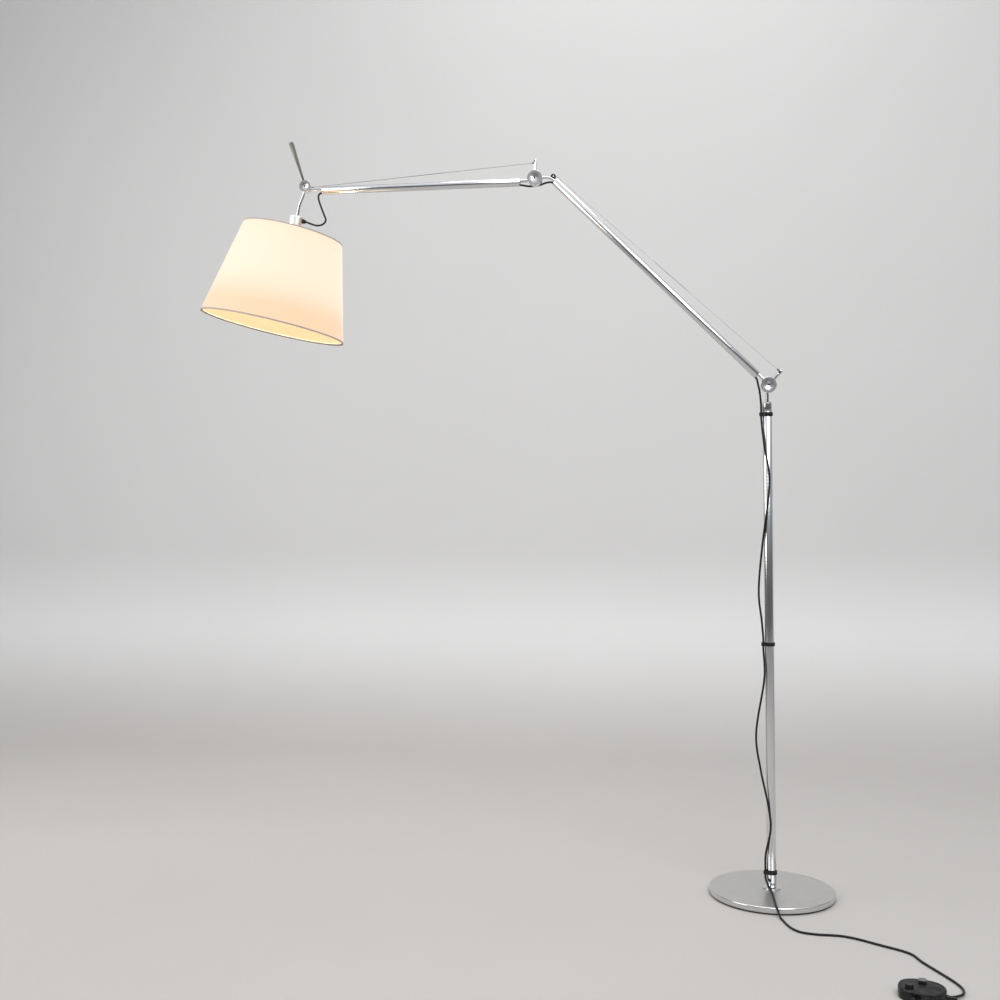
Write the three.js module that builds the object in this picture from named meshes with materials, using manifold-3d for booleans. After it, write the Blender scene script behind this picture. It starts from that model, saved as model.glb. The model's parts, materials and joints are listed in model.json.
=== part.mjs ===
// Adjustable arm floor lamp: a weighted round base, a slim pole, two spring-balanced arms and a
// tilting head with a conical shade.  Millimetres, +Z up, origin on the floor under the pole.
// The arms lie in the XZ plane and reach towards -X; the lamp stands at its rest pose.
import * as THREE from 'three';
import { mergeVertices } from 'three/addons/utils/BufferGeometryUtils.js';
import Module from 'manifold-3d';

const wasm = await Module();
wasm.setup();

// ---------------------------------------------------------------- driving dimensions
const GAP = 0.3;                     // clearance between pieces that touch
const RAD = Math.PI / 180;
const FACETS = { shade: 48, base: 40, round: 24, small: 16, tiny: 10 };  // around each circle

const BASE_R = 165;                  // outside radius of the round base
const BASE_TOP = 18.5;               // height of the base's upper face
const PAD_H = 4.5;                   // thickness of the foot pad
const COVER_WALL = 1.2;              // sheet thickness of the base cover

const POLE_R = 12.5;                 // pole tube, outside and inside
const POLE_BORE = 11;
const POLE_END = 1303;               // upper end of the pole tube
const SLEEVE_TOP = 1327;             // upper end of the sleeve that carries the swivel
const CLIP_HEIGHTS = { top: 1296, middle: 672, bottom: 61 };
const CLIP_H = 10;

const ARM_R = 11;                    // both arm tubes
const ARM_BORE = 9.8;
const DISC_R = 21.5;                  // joint discs of the two arm joints
const HEAD_DISC_R = 18;              // joint discs of the head joint
const DISC_T = 9;                    // thickness of each disc
const DISC_GAP = 1.6;                // space between paired discs, filled by a friction washer
const FRONT_Y = -(DISC_T + DISC_GAP);  // plane of the discs on the front side
const STUB_R = 4.3;                  // rods between a disc and its arm tube
const STUB_RISE = 4.4;               // rod axis above the tube axis
const CABLE_DROP = 6.4;              // cable axis below the tube axis
const STEM_R = 5;                    // swivel stem

const LOWER_JOINT = new THREE.Vector3(4, 0, 1375);
const LOWER_LEAN = 45.6;             // lower arm above the horizontal, degrees
const LOWER_TUBE = { start: 40, end: 826, rise: -3 };
const LOWER_ROLLER = { along: 841, rise: 3, r: 7.3 };
const ELBOW_ROD_Y = -11.6;           // plane of the bent rod at the elbow
const ELBOW = new THREE.Vector3(-635, 0, 1978);
const UPPER_LEAN = 0.85;
const UPPER_TUBE = { start: 44, end: 629, rise: -8.9 };
const UPPER_ROLLER = { x: -1298, y: 7.3, z: 1988.3, r: 4.5 };
const HEAD_ALONG = 678.4;            // head joint, measured along and above the upper arm
const HEAD_RISE = 3.6;

const LEVER_R = 4.8;                 // levers that hold the tension wires
const LEVER_TIP = 53;
const LEVER_EYE = 46.5;              // pin that holds the wire, from the joint axis
const LEVER_ANGLE = { lower: 41.6, upper: 2.3 };  // clockwise from upright, degrees
const PIN_R = 2.2;
const WIRE_R = 0.75;
const GROOVE = 1.1;                  // depth of a roller's groove

const HOLDER = new THREE.Vector3(-1338.2, FRONT_Y, 1902.7);  // middle of the holder's upper face
const SHADE_LEAN = 12.87;            // shade axis, degrees from upright
const CAP_R = 20;
const CAP_H = 45;
const SHADE_TOP = { r: 145, z: -51 };
const SHADE_FOOT = { r: 210, z: -333 };
const SHADE_WALL = 1.8;
const SHADE_WIRE = 1.6;              // radius of the frame wires
const GLAND_Z = -10.6;
const HANDLE_LEAN = 18.8;

const CORD_R = 2.75;
const DIMMER = { x: 263, y: -626, turn: -14 };  // middle of the foot dimmer, and its turn
const DIMMER_HALF = { length: 49, width: 41 };
const COIL = { x: 198, y: -745, inner: 21.5, outer: 44.5, height: 10.8 };

// ---------------------------------------------------------------- finishes
function finish(color, roughness, metalness) {
  return new THREE.MeshStandardMaterial({ color, roughness, metalness });
}
const POLISHED = () => finish(0xd6d9dc, 0.16, 1);
const SATIN = () => finish(0xb9bab8, 0.38, 1);
const TURNED = () => finish(0xe2e4e6, 0.24, 1);
const STEEL = () => finish(0x8d9196, 0.35, 1);
const CHROME = () => finish(0xd0d2d4, 0.12, 1);
const BLACK = () => finish(0x161616, 0.5, 0);
const RUBBER = () => finish(0x1a1a1b, 0.8, 0);

// ---------------------------------------------------------------- geometry helpers
// Welds a geometry, drops collapsed triangles and turns its faces outwards.
function closed(geometry) {
  const bare = geometry.clone();
  for (const name of Object.keys(bare.attributes)) {
    if (name !== 'position') bare.deleteAttribute(name);
  }
  const welded = mergeVertices(bare, 1e-4);
  const p = welded.attributes.position.array;
  const index = welded.index.array;
  const kept = [];
  let volume = 0;
  for (let i = 0; i < index.length; i += 3) {
    const [a, b, c] = [index[i], index[i + 1], index[i + 2]];
    if (a === b || b === c || c === a) continue;
    kept.push(a, b, c);
    const [u, v, w] = [a, b, c].map((n) => new THREE.Vector3().fromArray(p, 3 * n));
    volume += u.dot(v.cross(w));
  }
  if (volume < 0) {
    for (let i = 0; i < kept.length; i += 3) {
      [kept[i + 1], kept[i + 2]] = [kept[i + 2], kept[i + 1]];
    }
  }
  const out = new THREE.BufferGeometry();
  out.setAttribute('position', new THREE.Float32BufferAttribute(p, 3));
  out.setIndex(kept);
  return out;
}

function solid(geometry) {
  const g = closed(geometry);
  const vertProperties = new Float32Array(g.attributes.position.array);
  const triVerts = new Uint32Array(g.index.array);
  return new wasm.Manifold(new wasm.Mesh({ numProp: 3, vertProperties, triVerts }));
}

function surface(manifold) {
  const mesh = manifold.getMesh();
  const out = new THREE.BufferGeometry();
  out.setAttribute('position', new THREE.Float32BufferAttribute(mesh.vertProperties, 3));
  out.setIndex([...mesh.triVerts]);
  return out;
}

// Turns a list of [radius, height] around Z.  A ring's outline ends where it starts.
function turned(outline, segments = FACETS.small) {
  const points = outline.map(([r, z]) => new THREE.Vector2(r, z));
  return closed(new THREE.LatheGeometry(points, segments).rotateX(Math.PI / 2));
}

// The same around Y, for what lies on a joint's axis.
function turnedOnY(outline, segments = FACETS.round) {
  const points = outline.map(([r, y]) => new THREE.Vector2(r, y));
  return closed(new THREE.LatheGeometry(points, segments));
}

function ring(inner, outer, low, high) {
  return [[inner, low], [outer, low], [outer, high], [inner, high], [inner, low]];
}

function tube(inner, outer, low, high, segments = FACETS.round) {
  return turned(ring(inner, outer, low, high), segments);
}

// A straight round bar between two points.
function bar(from, to, r, segments = FACETS.tiny, tipR = r) {
  const way = new THREE.Vector3().subVectors(to, from);
  const g = new THREE.CylinderGeometry(tipR, r, way.length(), segments);
  g.translate(0, way.length() / 2, 0);
  g.applyQuaternion(new THREE.Quaternion().setFromUnitVectors(
    new THREE.Vector3(0, 1, 0), way.normalize()));
  return closed(g.translate(from.x, from.y, from.z));
}

// A round bar swept through hand-picked points, with the same number of steps between each pair.
function swept(points, r, sides, perSpan) {
  const section = new THREE.Shape();
  for (let i = 0; i < sides; i += 1) {
    const a = (2 * Math.PI * i) / sides;
    const go = i ? 'lineTo' : 'moveTo';
    section[go](r * Math.cos(a), r * Math.sin(a));
  }
  section.closePath();
  const extrudePath = new THREE.CatmullRomCurve3(points, false, 'centripetal');
  extrudePath.getPointAt = extrudePath.getPoint;
  extrudePath.getTangentAt = extrudePath.getTangent;
  const steps = perSpan * (points.length - 1);
  return closed(new THREE.ExtrudeGeometry(section, { steps, extrudePath, bevelEnabled: false }));
}

function at(x, y, z) {
  return new THREE.Vector3(x, y, z);
}

function part(name, geometry, material) {
  const mesh = new THREE.Mesh(geometry, material);
  mesh.name = name;
  return mesh;
}

// A point given along an arm, across it and above it, in the lamp's own frame.
function onArm(joint, lean, along, y, rise) {
  const c = Math.cos(lean * RAD);
  const s = Math.sin(lean * RAD);
  return at(joint.x - along * c + rise * s, y, joint.z + along * s + rise * c);
}
const onLower = (along, y, rise) => onArm(LOWER_JOINT, LOWER_LEAN, along, y, rise);
const onUpper = (along, y, rise) => onArm(ELBOW, UPPER_LEAN, along, y, rise);

// A point in a joint's own frame, for a group that is turned by an arm's lean.
function intoArm(joint, lean, point) {
  const moved = new THREE.Vector3().subVectors(point, joint);
  return moved.applyAxisAngle(at(0, 1, 0), -lean * RAD);
}

// ---------------------------------------------------------------- shared joint pieces
// A joint disc with chamfered rims and a hole for the pivot bolt.
function disc(r, y) {
  const half = DISC_T / 2;
  const cut = 0.9;
  return turnedOnY([
    [3.4, y - half], [r - cut, y - half], [r, y - half + cut], [r, y + half - cut],
    [r - cut, y + half], [3.4, y + half], [3.4, y - half],
  ]);
}

function frictionWasher(r) {
  const middle = -(DISC_T + DISC_GAP) / 2;
  return turnedOnY(ring(3.5, r - 3, middle - 0.5, middle + 0.5), FACETS.small);
}

// The pivot bolt, from its recessed head in the front disc to its dome nut at the back.
function pivotBolt() {
  const front = FRONT_Y - DISC_T / 2 + 0.6;
  const back = DISC_T / 2 + GAP;
  return turnedOnY([
    [0, front], [3, front], [3, back], [6, back], [6, back + 3],
    [4.6, back + 5], [0, back + 5.8],
  ], FACETS.tiny);
}

// A lever that stands on a joint disc, with a chamfered tip and an eye for its pin.
function lever(y) {
  const shaft = solid(bar(at(0, y, DISC_R - 2), at(0, y, LEVER_TIP - 1.2), LEVER_R, FACETS.small));
  const neck = at(0, y, LEVER_TIP - 1.4);
  const tip = solid(bar(neck, at(0, y, LEVER_TIP), LEVER_R, FACETS.small, LEVER_R - 1.2));
  const clear = solid(discClearance(DISC_R, y));
  const eye = solid(bar(at(0, y - 9, LEVER_EYE), at(0, y + 9, LEVER_EYE), PIN_R + GAP));
  return surface(shaft.add(tip).subtract(clear).subtract(eye));
}

// The room that a disc takes, for cutting what meets its edge.
function discClearance(r, y) {
  return turnedOnY([[0, y - DISC_T], [r + GAP, y - DISC_T], [r + GAP, y + DISC_T], [0, y + DISC_T]]);
}

// The pin through a lever's eye, long enough on one side to carry the wire's loop.
function leverPin(leverY, wireY) {
  const side = Math.sign(wireY - leverY);
  const tail = at(0, leverY - side * (LEVER_R + 0.5), LEVER_EYE);
  return bar(tail, at(0, wireY + side * 2.6, LEVER_EYE), PIN_R);
}

// The grooved roller that guides a tension wire into its arm.
function roller(r, half, bore) {
  return turnedOnY([
    [bore, -half], [r, -half], [r, -0.5 * half], [r - GROOVE, -0.25 * half],
    [r - GROOVE, 0.25 * half], [r, 0.5 * half], [r, half], [bore, half], [bore, -half],
  ], FACETS.small);
}

// The plug in an arm tube's end, with its lower part cut away for the cable.
function armPlug(from, to, y, rise) {
  const body = solid(bar(at(-from, y, rise), at(-to, y, rise), ARM_BORE - GAP, FACETS.small));
  const below = new THREE.BoxGeometry(to - from + 20, 40, 20);
  below.translate(-(from + to) / 2, y, rise - CABLE_DROP + CORD_R + GAP - 10);
  return body.subtract(solid(below));
}

function armTube(spec, y) {
  const wall = solid(bar(at(-spec.start, y, spec.rise), at(-spec.end, y, spec.rise), ARM_R, FACETS.round));
  const bore = solid(bar(
    at(-spec.start + 5, y, spec.rise), at(-spec.end - 5, y, spec.rise), ARM_BORE, FACETS.round));
  return surface(wall.subtract(bore));
}

// A close-wound extension spring, drawn as the sleeve its coils fill.
function armSpring(from, to, y, rise) {
  const coils = solid(bar(at(-from, y, rise), at(-to, y, rise), 5));
  const inside = solid(bar(at(-from + 5, y, rise), at(-to - 5, y, rise), 3.2));
  return surface(coils.subtract(inside));
}

// The foot of an arm: its disc, the rod and the plug inside the tube's near end.
function armFoot(spec, y) {
  const axis = spec.rise + STUB_RISE;
  const rod = solid(bar(at(-DISC_R + 4, y, axis), at(-spec.start - 8, y, axis), STUB_R, FACETS.small));
  const plug = armPlug(spec.start + 1, spec.start + 22, y, spec.rise);
  return surface(solid(disc(DISC_R, y)).add(rod).add(plug));
}

// The axis of a lever's pin, in the lamp's own frame.
function pinOf(joint, angle, y) {
  const a = angle * RAD;
  return at(joint.x + LEVER_EYE * Math.sin(a), y, joint.z + LEVER_EYE * Math.cos(a));
}

// A straight wire from beside a lever's pin to the top of a roller.
function tensionWire(pin, end) {
  const way = new THREE.Vector3().subVectors(end, pin).normalize();
  return bar(pin.clone().addScaledVector(way, PIN_R + GAP), end, WIRE_R, 6);
}

// ---------------------------------------------------------------- the stand
const stand = new THREE.Group();

function footPad() {
  return turned([[0, 0], [BASE_R - 5, 0], [BASE_R - 4, 1], [BASE_R - 4, PAD_H], [0, PAD_H]], FACETS.base);
}

function baseWeight() {
  const low = PAD_H + GAP;
  const high = BASE_TOP - COVER_WALL - GAP;
  return turned([
    [11, low], [BASE_R - COVER_WALL - 0.8, low], [BASE_R - COVER_WALL - 0.8, high - 2.5],
    [BASE_R - COVER_WALL - 3.3, high], [5.6, high], [5.6, low + 7], [11, low + 7], [11, low],
  ], FACETS.base);
}

function baseCover() {
  const low = PAD_H + GAP;
  const wall = BASE_R - COVER_WALL;
  const edge = [0, 45, 90].map((a) => [
    BASE_R - 3 + 3 * Math.cos(a * RAD), BASE_TOP - 3 + 3 * Math.sin(a * RAD)]);
  return turned([
    [wall, low], [BASE_R, low], ...edge, [5.6, BASE_TOP], [5.6, BASE_TOP - COVER_WALL],
    [wall - 2.2, BASE_TOP - COVER_WALL], [wall, BASE_TOP - COVER_WALL - 2.2], [wall, low],
  ], FACETS.base);
}

function baseBolt() {
  const head = PAD_H + 2 * GAP;
  return turned([[0, head], [9, head], [9, head + 6], [5, head + 6], [5, 46], [0, 46]], FACETS.tiny);
}

// Foot flange with the spigot that the pole tube stands on.
function poleFoot() {
  const low = BASE_TOP + GAP;
  const spigot = POLE_BORE - GAP;
  return turned([
    [5.5, low], [23.4, low], [24, low + 0.8], [23.4, low + 2.4], [16, low + 3.6],
    [spigot, low + 3.6], [spigot, 70], [0, 70], [0, 50], [5.5, 50], [5.5, low],
  ], FACETS.round);
}

function topSleeve() {
  const low = POLE_END + GAP;
  return turned([
    [7.6, low - 22], [POLE_BORE - GAP, low - 22], [POLE_BORE - GAP, low], [POLE_R + 0.3, low],
    [POLE_R + 0.3, SLEEVE_TOP - 1], [POLE_R - 0.7, SLEEVE_TOP], [7.6, SLEEVE_TOP], [7.6, low - 22],
  ], FACETS.round);
}

function swivelBush() {
  return turned([
    [STEM_R + GAP, 1276], [7.3, 1276], [7.3, SLEEVE_TOP + GAP], [9.6, SLEEVE_TOP + GAP],
    [9.6, SLEEVE_TOP + 1.8], [STEM_R + GAP, SLEEVE_TOP + 1.8], [STEM_R + GAP, 1276],
  ]);
}

const CORD_AT_CLIP = { x: -16.1, y: -3.7 };

// A clip that grips the pole and carries the cord beside it.
function cordClip(z) {
  const low = z - CLIP_H / 2;
  const high = z + CLIP_H / 2;
  const { x, y } = CORD_AT_CLIP;
  const band = solid(bar(at(0, 0, low), at(0, 0, high), POLE_R + 2.7, FACETS.small));
  const loop = solid(bar(at(x, y, low), at(x, y, high), CORD_R + 2.5));
  const pole = solid(bar(at(0, 0, low - 5), at(0, 0, high + 5), POLE_R + 1.5 * GAP, FACETS.small));
  const channel = solid(bar(at(x, y, low - 5), at(x, y, high + 5), CORD_R + GAP));
  return surface(band.add(loop).subtract(pole).subtract(channel));
}

stand.add(part('foot_pad', footPad(), RUBBER()));
stand.add(part('base_weight', baseWeight(), STEEL()));
stand.add(part('base_cover', baseCover(), SATIN()));
stand.add(part('base_bolt', baseBolt(), STEEL()));
stand.add(part('pole_foot', poleFoot(), CHROME()));
stand.add(part('pole_tube', tube(POLE_BORE, POLE_R, BASE_TOP + 4.2, POLE_END), POLISHED()));
stand.add(part('pole_top_sleeve', topSleeve(), POLISHED()));
stand.add(part('swivel_bush', swivelBush(), BLACK()));
for (const [place, z] of Object.entries(CLIP_HEIGHTS)) {
  stand.add(part(`cord_clip_${place}`, cordClip(z), BLACK()));
}

// ---------------------------------------------------------------- swivel head
const swivelHead = new THREE.Group();

function swivelStem() {
  const stem = solid(bar(at(0, 0, 1270), at(0, 0, LOWER_JOINT.z - 10), STEM_R, FACETS.small));
  const clear = solid(discClearance(DISC_R, 0).translate(LOWER_JOINT.x, 0, LOWER_JOINT.z));
  return surface(stem.subtract(clear));
}

const lowerJoint = new THREE.Group();
lowerJoint.position.copy(LOWER_JOINT);
lowerJoint.add(part('swivel_disc', disc(DISC_R, 0), TURNED()));
lowerJoint.add(part('lower_pivot_bolt', pivotBolt(), BLACK()));
lowerJoint.add(part('lower_friction_washer', frictionWasher(DISC_R), BLACK()));
const lowerLever = new THREE.Group();
lowerLever.rotation.y = LEVER_ANGLE.lower * RAD;
lowerLever.add(part('lower_lever', lever(0), POLISHED()));
lowerLever.add(part('lower_lever_pin', leverPin(0, FRONT_Y), BLACK()));
lowerJoint.add(lowerLever);
swivelHead.add(part('swivel_stem', swivelStem(), POLISHED()), lowerJoint);

// ---------------------------------------------------------------- lower arm
const lowerArm = new THREE.Group();
lowerArm.position.copy(LOWER_JOINT);
lowerArm.rotation.y = LOWER_LEAN * RAD;

// Plug at the arm's upper end, with the bent rod to the elbow disc and the roller's ear and axle.
function elbowBracket() {
  const { end, rise } = LOWER_TUBE;
  const onRod = (x, z) => intoArm(LOWER_JOINT, LOWER_LEAN, at(x, ELBOW_ROD_Y, z));
  const bend = [
    onRod(-617, 1976.5), onRod(-604, 1976.5), onRod(-595.5, 1975.6), onRod(-588, 1973),
    onRod(-581.5, 1968.8), at(-end + 4, ELBOW_ROD_Y, rise + 1.5),
  ];
  const rod = solid(swept(bend, 3.6, FACETS.tiny, 2));
  const plug = armPlug(end - 21, end + 4, FRONT_Y, rise);
  const elbow = intoArm(LOWER_JOINT, LOWER_LEAN, ELBOW);
  const hub = solid(disc(DISC_R, FRONT_Y).translate(elbow.x, 0, elbow.z));
  const { along, rise: up, r } = LOWER_ROLLER;
  const room = solid(bar(at(-along, FRONT_Y - 9, up), at(-along, FRONT_Y + 4.6, up), r + 0.5, FACETS.small));
  const axle = solid(bar(at(-along, FRONT_Y - 4.6, up), at(-along, FRONT_Y + 6, up), 2));
  const ear = solid(new THREE.BoxGeometry(18, 3, 7).translate(-along + 5.5, FRONT_Y + 6.4, up - 1.6));
  return surface(rod.add(plug).subtract(room).add(ear).add(axle).add(hub));
}

lowerArm.add(part('lower_arm_foot', armFoot(LOWER_TUBE, FRONT_Y), TURNED()));
lowerArm.add(part('lower_arm_tube', armTube(LOWER_TUBE, FRONT_Y), POLISHED()));
lowerArm.add(part('lower_arm_spring', armSpring(70, 290, FRONT_Y, LOWER_TUBE.rise + 3.6), STEEL()));
lowerArm.add(part('elbow_bracket', elbowBracket(), TURNED()));
const lowerRoller = part('lower_roller', roller(LOWER_ROLLER.r, 4, 2.3), BLACK());
lowerRoller.position.set(-LOWER_ROLLER.along, FRONT_Y, LOWER_ROLLER.rise);
lowerArm.add(lowerRoller);

const elbowJoint = new THREE.Group();
elbowJoint.position.copy(ELBOW);
const upperLever = new THREE.Group();
upperLever.rotation.y = LEVER_ANGLE.upper * RAD;
upperLever.add(part('upper_lever', lever(FRONT_Y), POLISHED()));
upperLever.add(part('upper_lever_pin', leverPin(FRONT_Y, 0), BLACK()));
elbowJoint.add(upperLever);
elbowJoint.add(part('elbow_pivot_bolt', pivotBolt(), BLACK()));
elbowJoint.add(part('elbow_friction_washer', frictionWasher(DISC_R), BLACK()));

// ---------------------------------------------------------------- upper arm
const upperArm = new THREE.Group();
upperArm.position.copy(ELBOW);
upperArm.rotation.y = UPPER_LEAN * RAD;

// Plug at the arm's far end, its rod, the rear head disc and the roller's axle behind the disc.
function headBracket() {
  const { end, rise } = UPPER_TUBE;
  const axis = rise + STUB_RISE;
  const rod = solid(bar(at(-end + 8, 0, axis), at(-HEAD_ALONG + 14, 0, axis), STUB_R, FACETS.small));
  const plug = armPlug(end - 21, end - 1, 0, rise);
  const hub = solid(disc(HEAD_DISC_R, 0).translate(-HEAD_ALONG, 0, HEAD_RISE));
  const spot = intoArm(ELBOW, UPPER_LEAN, at(UPPER_ROLLER.x, 0, UPPER_ROLLER.z));
  const axleEnd = at(spot.x, UPPER_ROLLER.y + 2.8, spot.z);
  const axle = solid(bar(at(spot.x, DISC_T / 2 - 1, spot.z), axleEnd, 1.5, 8));
  return surface(rod.add(plug).add(hub).add(axle));
}

upperArm.add(part('upper_arm_foot', armFoot(UPPER_TUBE, 0), TURNED()));
upperArm.add(part('upper_arm_tube', armTube(UPPER_TUBE, 0), POLISHED()));
upperArm.add(part('upper_arm_spring', armSpring(74, 250, 0, UPPER_TUBE.rise + 3.6), STEEL()));
upperArm.add(part('head_bracket', headBracket(), TURNED()));
const upperRoller = part('upper_roller', roller(UPPER_ROLLER.r, 2.25, 1.8), BLACK());
upperRoller.position.set(UPPER_ROLLER.x, UPPER_ROLLER.y, UPPER_ROLLER.z);

// ---------------------------------------------------------------- head
const HEAD = onUpper(HEAD_ALONG, 0, HEAD_RISE);
const SHADE_AXIS = at(Math.sin(SHADE_LEAN * RAD), 0, Math.cos(SHADE_LEAN * RAD));
const head = new THREE.Group();
head.position.copy(HEAD);

// The stem from the head disc to the lamp holder, bent a little to meet it squarely.
function headStem() {
  const lampHolder = at(HOLDER.x - HEAD.x, FRONT_Y, HOLDER.z - HEAD.z);
  const onAxis = (d) => lampHolder.clone().addScaledVector(SHADE_AXIS, d);
  const root = at(-3.4, FRONT_Y, -14);
  const bend = [root, at(-5.4, FRONT_Y, -26), onAxis(34), onAxis(10), onAxis(-9)];
  const rod = solid(swept(bend, 4, FACETS.tiny, 2));
  const collar = solid(bar(onAxis(-9.5), onAxis(-5), 7));
  const clear = solid(discClearance(HEAD_DISC_R, FRONT_Y));
  return surface(rod.subtract(clear).add(collar));
}

// A flat handle that widens towards its rounded tip.
function headHandle() {
  const outline = new THREE.Shape();
  outline.moveTo(-2.6, HEAD_DISC_R + GAP + 1);
  outline.lineTo(2.6, HEAD_DISC_R + GAP + 1);
  outline.lineTo(7.2, 134);
  outline.quadraticCurveTo(6.6, 139.4, 0, 139.4);
  outline.quadraticCurveTo(-6.6, 139.4, -7.2, 134);
  outline.closePath();
  const blade = new THREE.ExtrudeGeometry(outline, {
    depth: 4, bevelEnabled: true, bevelThickness: 1.4, bevelSize: 1, bevelSegments: 2, curveSegments: 6,
  });
  blade.rotateX(Math.PI / 2).translate(0, FRONT_Y + 2, 0);
  return closed(blade);
}

head.add(part('head_disc', disc(HEAD_DISC_R, FRONT_Y), TURNED()));
head.add(part('head_stem', headStem(), POLISHED()));
const handleTurn = new THREE.Group();
handleTurn.rotation.y = -HANDLE_LEAN * RAD;
handleTurn.add(part('head_handle', headHandle(), finish(0x77766c, 0.45, 0.6)));
head.add(handleTurn);
head.add(part('head_pivot_bolt', pivotBolt(), BLACK()));
head.add(part('head_friction_washer', frictionWasher(HEAD_DISC_R), BLACK()));

// ---------------------------------------------------------------- lamp holder and shade
const holder = new THREE.Group();
holder.position.copy(HOLDER);
holder.rotation.y = SHADE_LEAN * RAD;

function shadeRadius(z) {
  const t = (z - SHADE_TOP.z) / (SHADE_FOOT.z - SHADE_TOP.z);
  return SHADE_TOP.r + t * (SHADE_FOOT.r - SHADE_TOP.r);
}

function holderCap() {
  const inner = CAP_R - 1.6;
  return turned([
    [4.5, -2], [4.5, 0], [CAP_R - 1.2, 0], [CAP_R, -1.2], [CAP_R, -CAP_H], [inner, -CAP_H],
    [inner, -2], [4.5, -2],
  ], FACETS.round);
}

function cableGland() {
  const nose = bar(at(CAP_R + GAP, 0, GLAND_Z), at(CAP_R + 8.5, 0, GLAND_Z), 7, FACETS.small, 5.6);
  const way = bar(at(CAP_R + 4, 0, GLAND_Z), at(CAP_R + 20, 0, GLAND_Z), CORD_R + GAP);
  const clear = bar(at(0, 0, GLAND_Z - 20), at(0, 0, GLAND_Z + 20), CAP_R + GAP, FACETS.base);
  return surface(solid(nose).subtract(solid(way)).subtract(solid(clear)));
}

function lampSocket() {
  return turned([
    [0, -12], [18.1, -12], [18.1, -50], [16.8, -51], [16.8, -84], [13.8, -84], [13.8, -44], [0, -44],
  ].reverse(), FACETS.round);
}

function bulbBase() {
  return turned([[0, -46], [5, -46], [12.8, -52], [12.8, -80], [0, -80]].reverse());
}

function bulbGlass() {
  const outer = [
    [10.5, -80.3], [13, -83], [15, -94], [26, -114], [30, -130], [27, -146], [17, -156.6], [0, -161],
  ];
  const inner = outer.slice().reverse().map(([r, z]) => [Math.max(r - 1, 0), Math.max(z, -160)]);
  return turned([...outer, ...inner, outer[0]]);
}

// Welded wire frame: hub ring, three spokes and the ring that holds the shade's upper rim.
function shadeCarrier() {
  const z = SHADE_TOP.z - 4;
  const rimR = shadeRadius(z) - SHADE_WALL - 2 * SHADE_WIRE + 0.4;
  const hub = solid(tube(18.5, 24, z - 1.2, z + 1.2, FACETS.small));
  const rim = new THREE.TorusGeometry(rimR, SHADE_WIRE, 5, FACETS.shade / 2).translate(0, 0, z);
  let frame = hub.add(solid(closed(rim)));
  for (const turn of [30, 150, 270]) {
    const way = at(Math.cos(turn * RAD), Math.sin(turn * RAD), 0);
    frame = frame.add(solid(bar(
      at(22 * way.x, 22 * way.y, z), at(rimR * way.x, rimR * way.y, z), 2, 8)));
  }
  return surface(frame);
}

function lowerShadeRing() {
  const z = SHADE_FOOT.z + 4;
  const r = shadeRadius(z) - SHADE_WALL - 2 * SHADE_WIRE + 0.4;
  return closed(new THREE.TorusGeometry(r, SHADE_WIRE, 5, FACETS.shade / 2).translate(0, 0, z));
}

function lampShade() {
  const { r: topR, z: topZ } = SHADE_TOP;
  const { r: footR, z: footZ } = SHADE_FOOT;
  return turned([
    [footR - SHADE_WALL, footZ], [footR, footZ], [topR, topZ], [topR - SHADE_WALL, topZ],
    [footR - SHADE_WALL, footZ],
  ], FACETS.shade);
}

holder.add(part('holder_cap', holderCap(), SATIN()));
holder.add(part('cable_gland', cableGland(), BLACK()));
holder.add(part('lamp_socket', lampSocket(), finish(0xe6e3da, 0.5, 0)));
holder.add(part('bulb_base', bulbBase(), STEEL()));
holder.add(part('bulb_glass', bulbGlass(), finish(0xfff3dc, 0.3, 0)));
holder.add(part('shade_carrier', shadeCarrier(), finish(0xe8e8e4, 0.4, 0.4)));
holder.add(part('carrier_nut', tube(17.4, 23, -68, -57.6, FACETS.small), finish(0xe6e3da, 0.5, 0)));
holder.add(part('shade_bottom_ring', lowerShadeRing(), finish(0xe8e8e4, 0.4, 0.4)));
holder.add(part('lamp_shade', lampShade(), finish(0xf3e3c4, 0.9, 0)));

// ---------------------------------------------------------------- tension wires and cables
const wires = new THREE.Group();
// Height of a wire's axis above the axis of the roller that it runs over.
const wireOver = (r) => r - GROOVE + GAP + WIRE_R;
const lowerWireEnd = onLower(LOWER_ROLLER.along - 1, FRONT_Y, LOWER_ROLLER.rise + wireOver(LOWER_ROLLER.r));
const upperWireEnd = at(UPPER_ROLLER.x + 1, UPPER_ROLLER.y, UPPER_ROLLER.z + wireOver(UPPER_ROLLER.r));
const lowerPin = pinOf(LOWER_JOINT, LEVER_ANGLE.lower, FRONT_Y);
const upperPin = pinOf(ELBOW, LEVER_ANGLE.upper, 0);
wires.add(part('lower_tension_wire', tensionWire(lowerPin, lowerWireEnd), STEEL()));
wires.add(part('upper_tension_wire', tensionWire(upperPin, upperWireEnd), STEEL()));

const inLower = LOWER_TUBE.rise - CABLE_DROP;   // cable axis inside each arm tube
const inUpper = UPPER_TUBE.rise - CABLE_DROP;

const AT_CLIP = (z) => at(CORD_AT_CLIP.x, CORD_AT_CLIP.y, z);

// A cable with one swept end or middle and one long straight stretch that meets it.
function cable(bend, perSpan, from, to) {
  const straight = bar(from, to, CORD_R, 8);
  return surface(solid(swept(bend, CORD_R, 8, perSpan)).add(solid(straight)));
}

// From the upper clip, past the swivel and into the lower arm.
const POST_CABLE = [
  AT_CLIP(CLIP_HEIGHTS.top + 7.3), AT_CLIP(1312), at(-16.6, -4.6, 1326), at(-18.4, -6.4, 1346),
  at(-20.8, -8.4, 1362), at(-24.4, -10.2, 1378), at(-27.4, -10.6, 1391), onLower(43, FRONT_Y, inLower),
  onLower(52, FRONT_Y, inLower),
];

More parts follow.
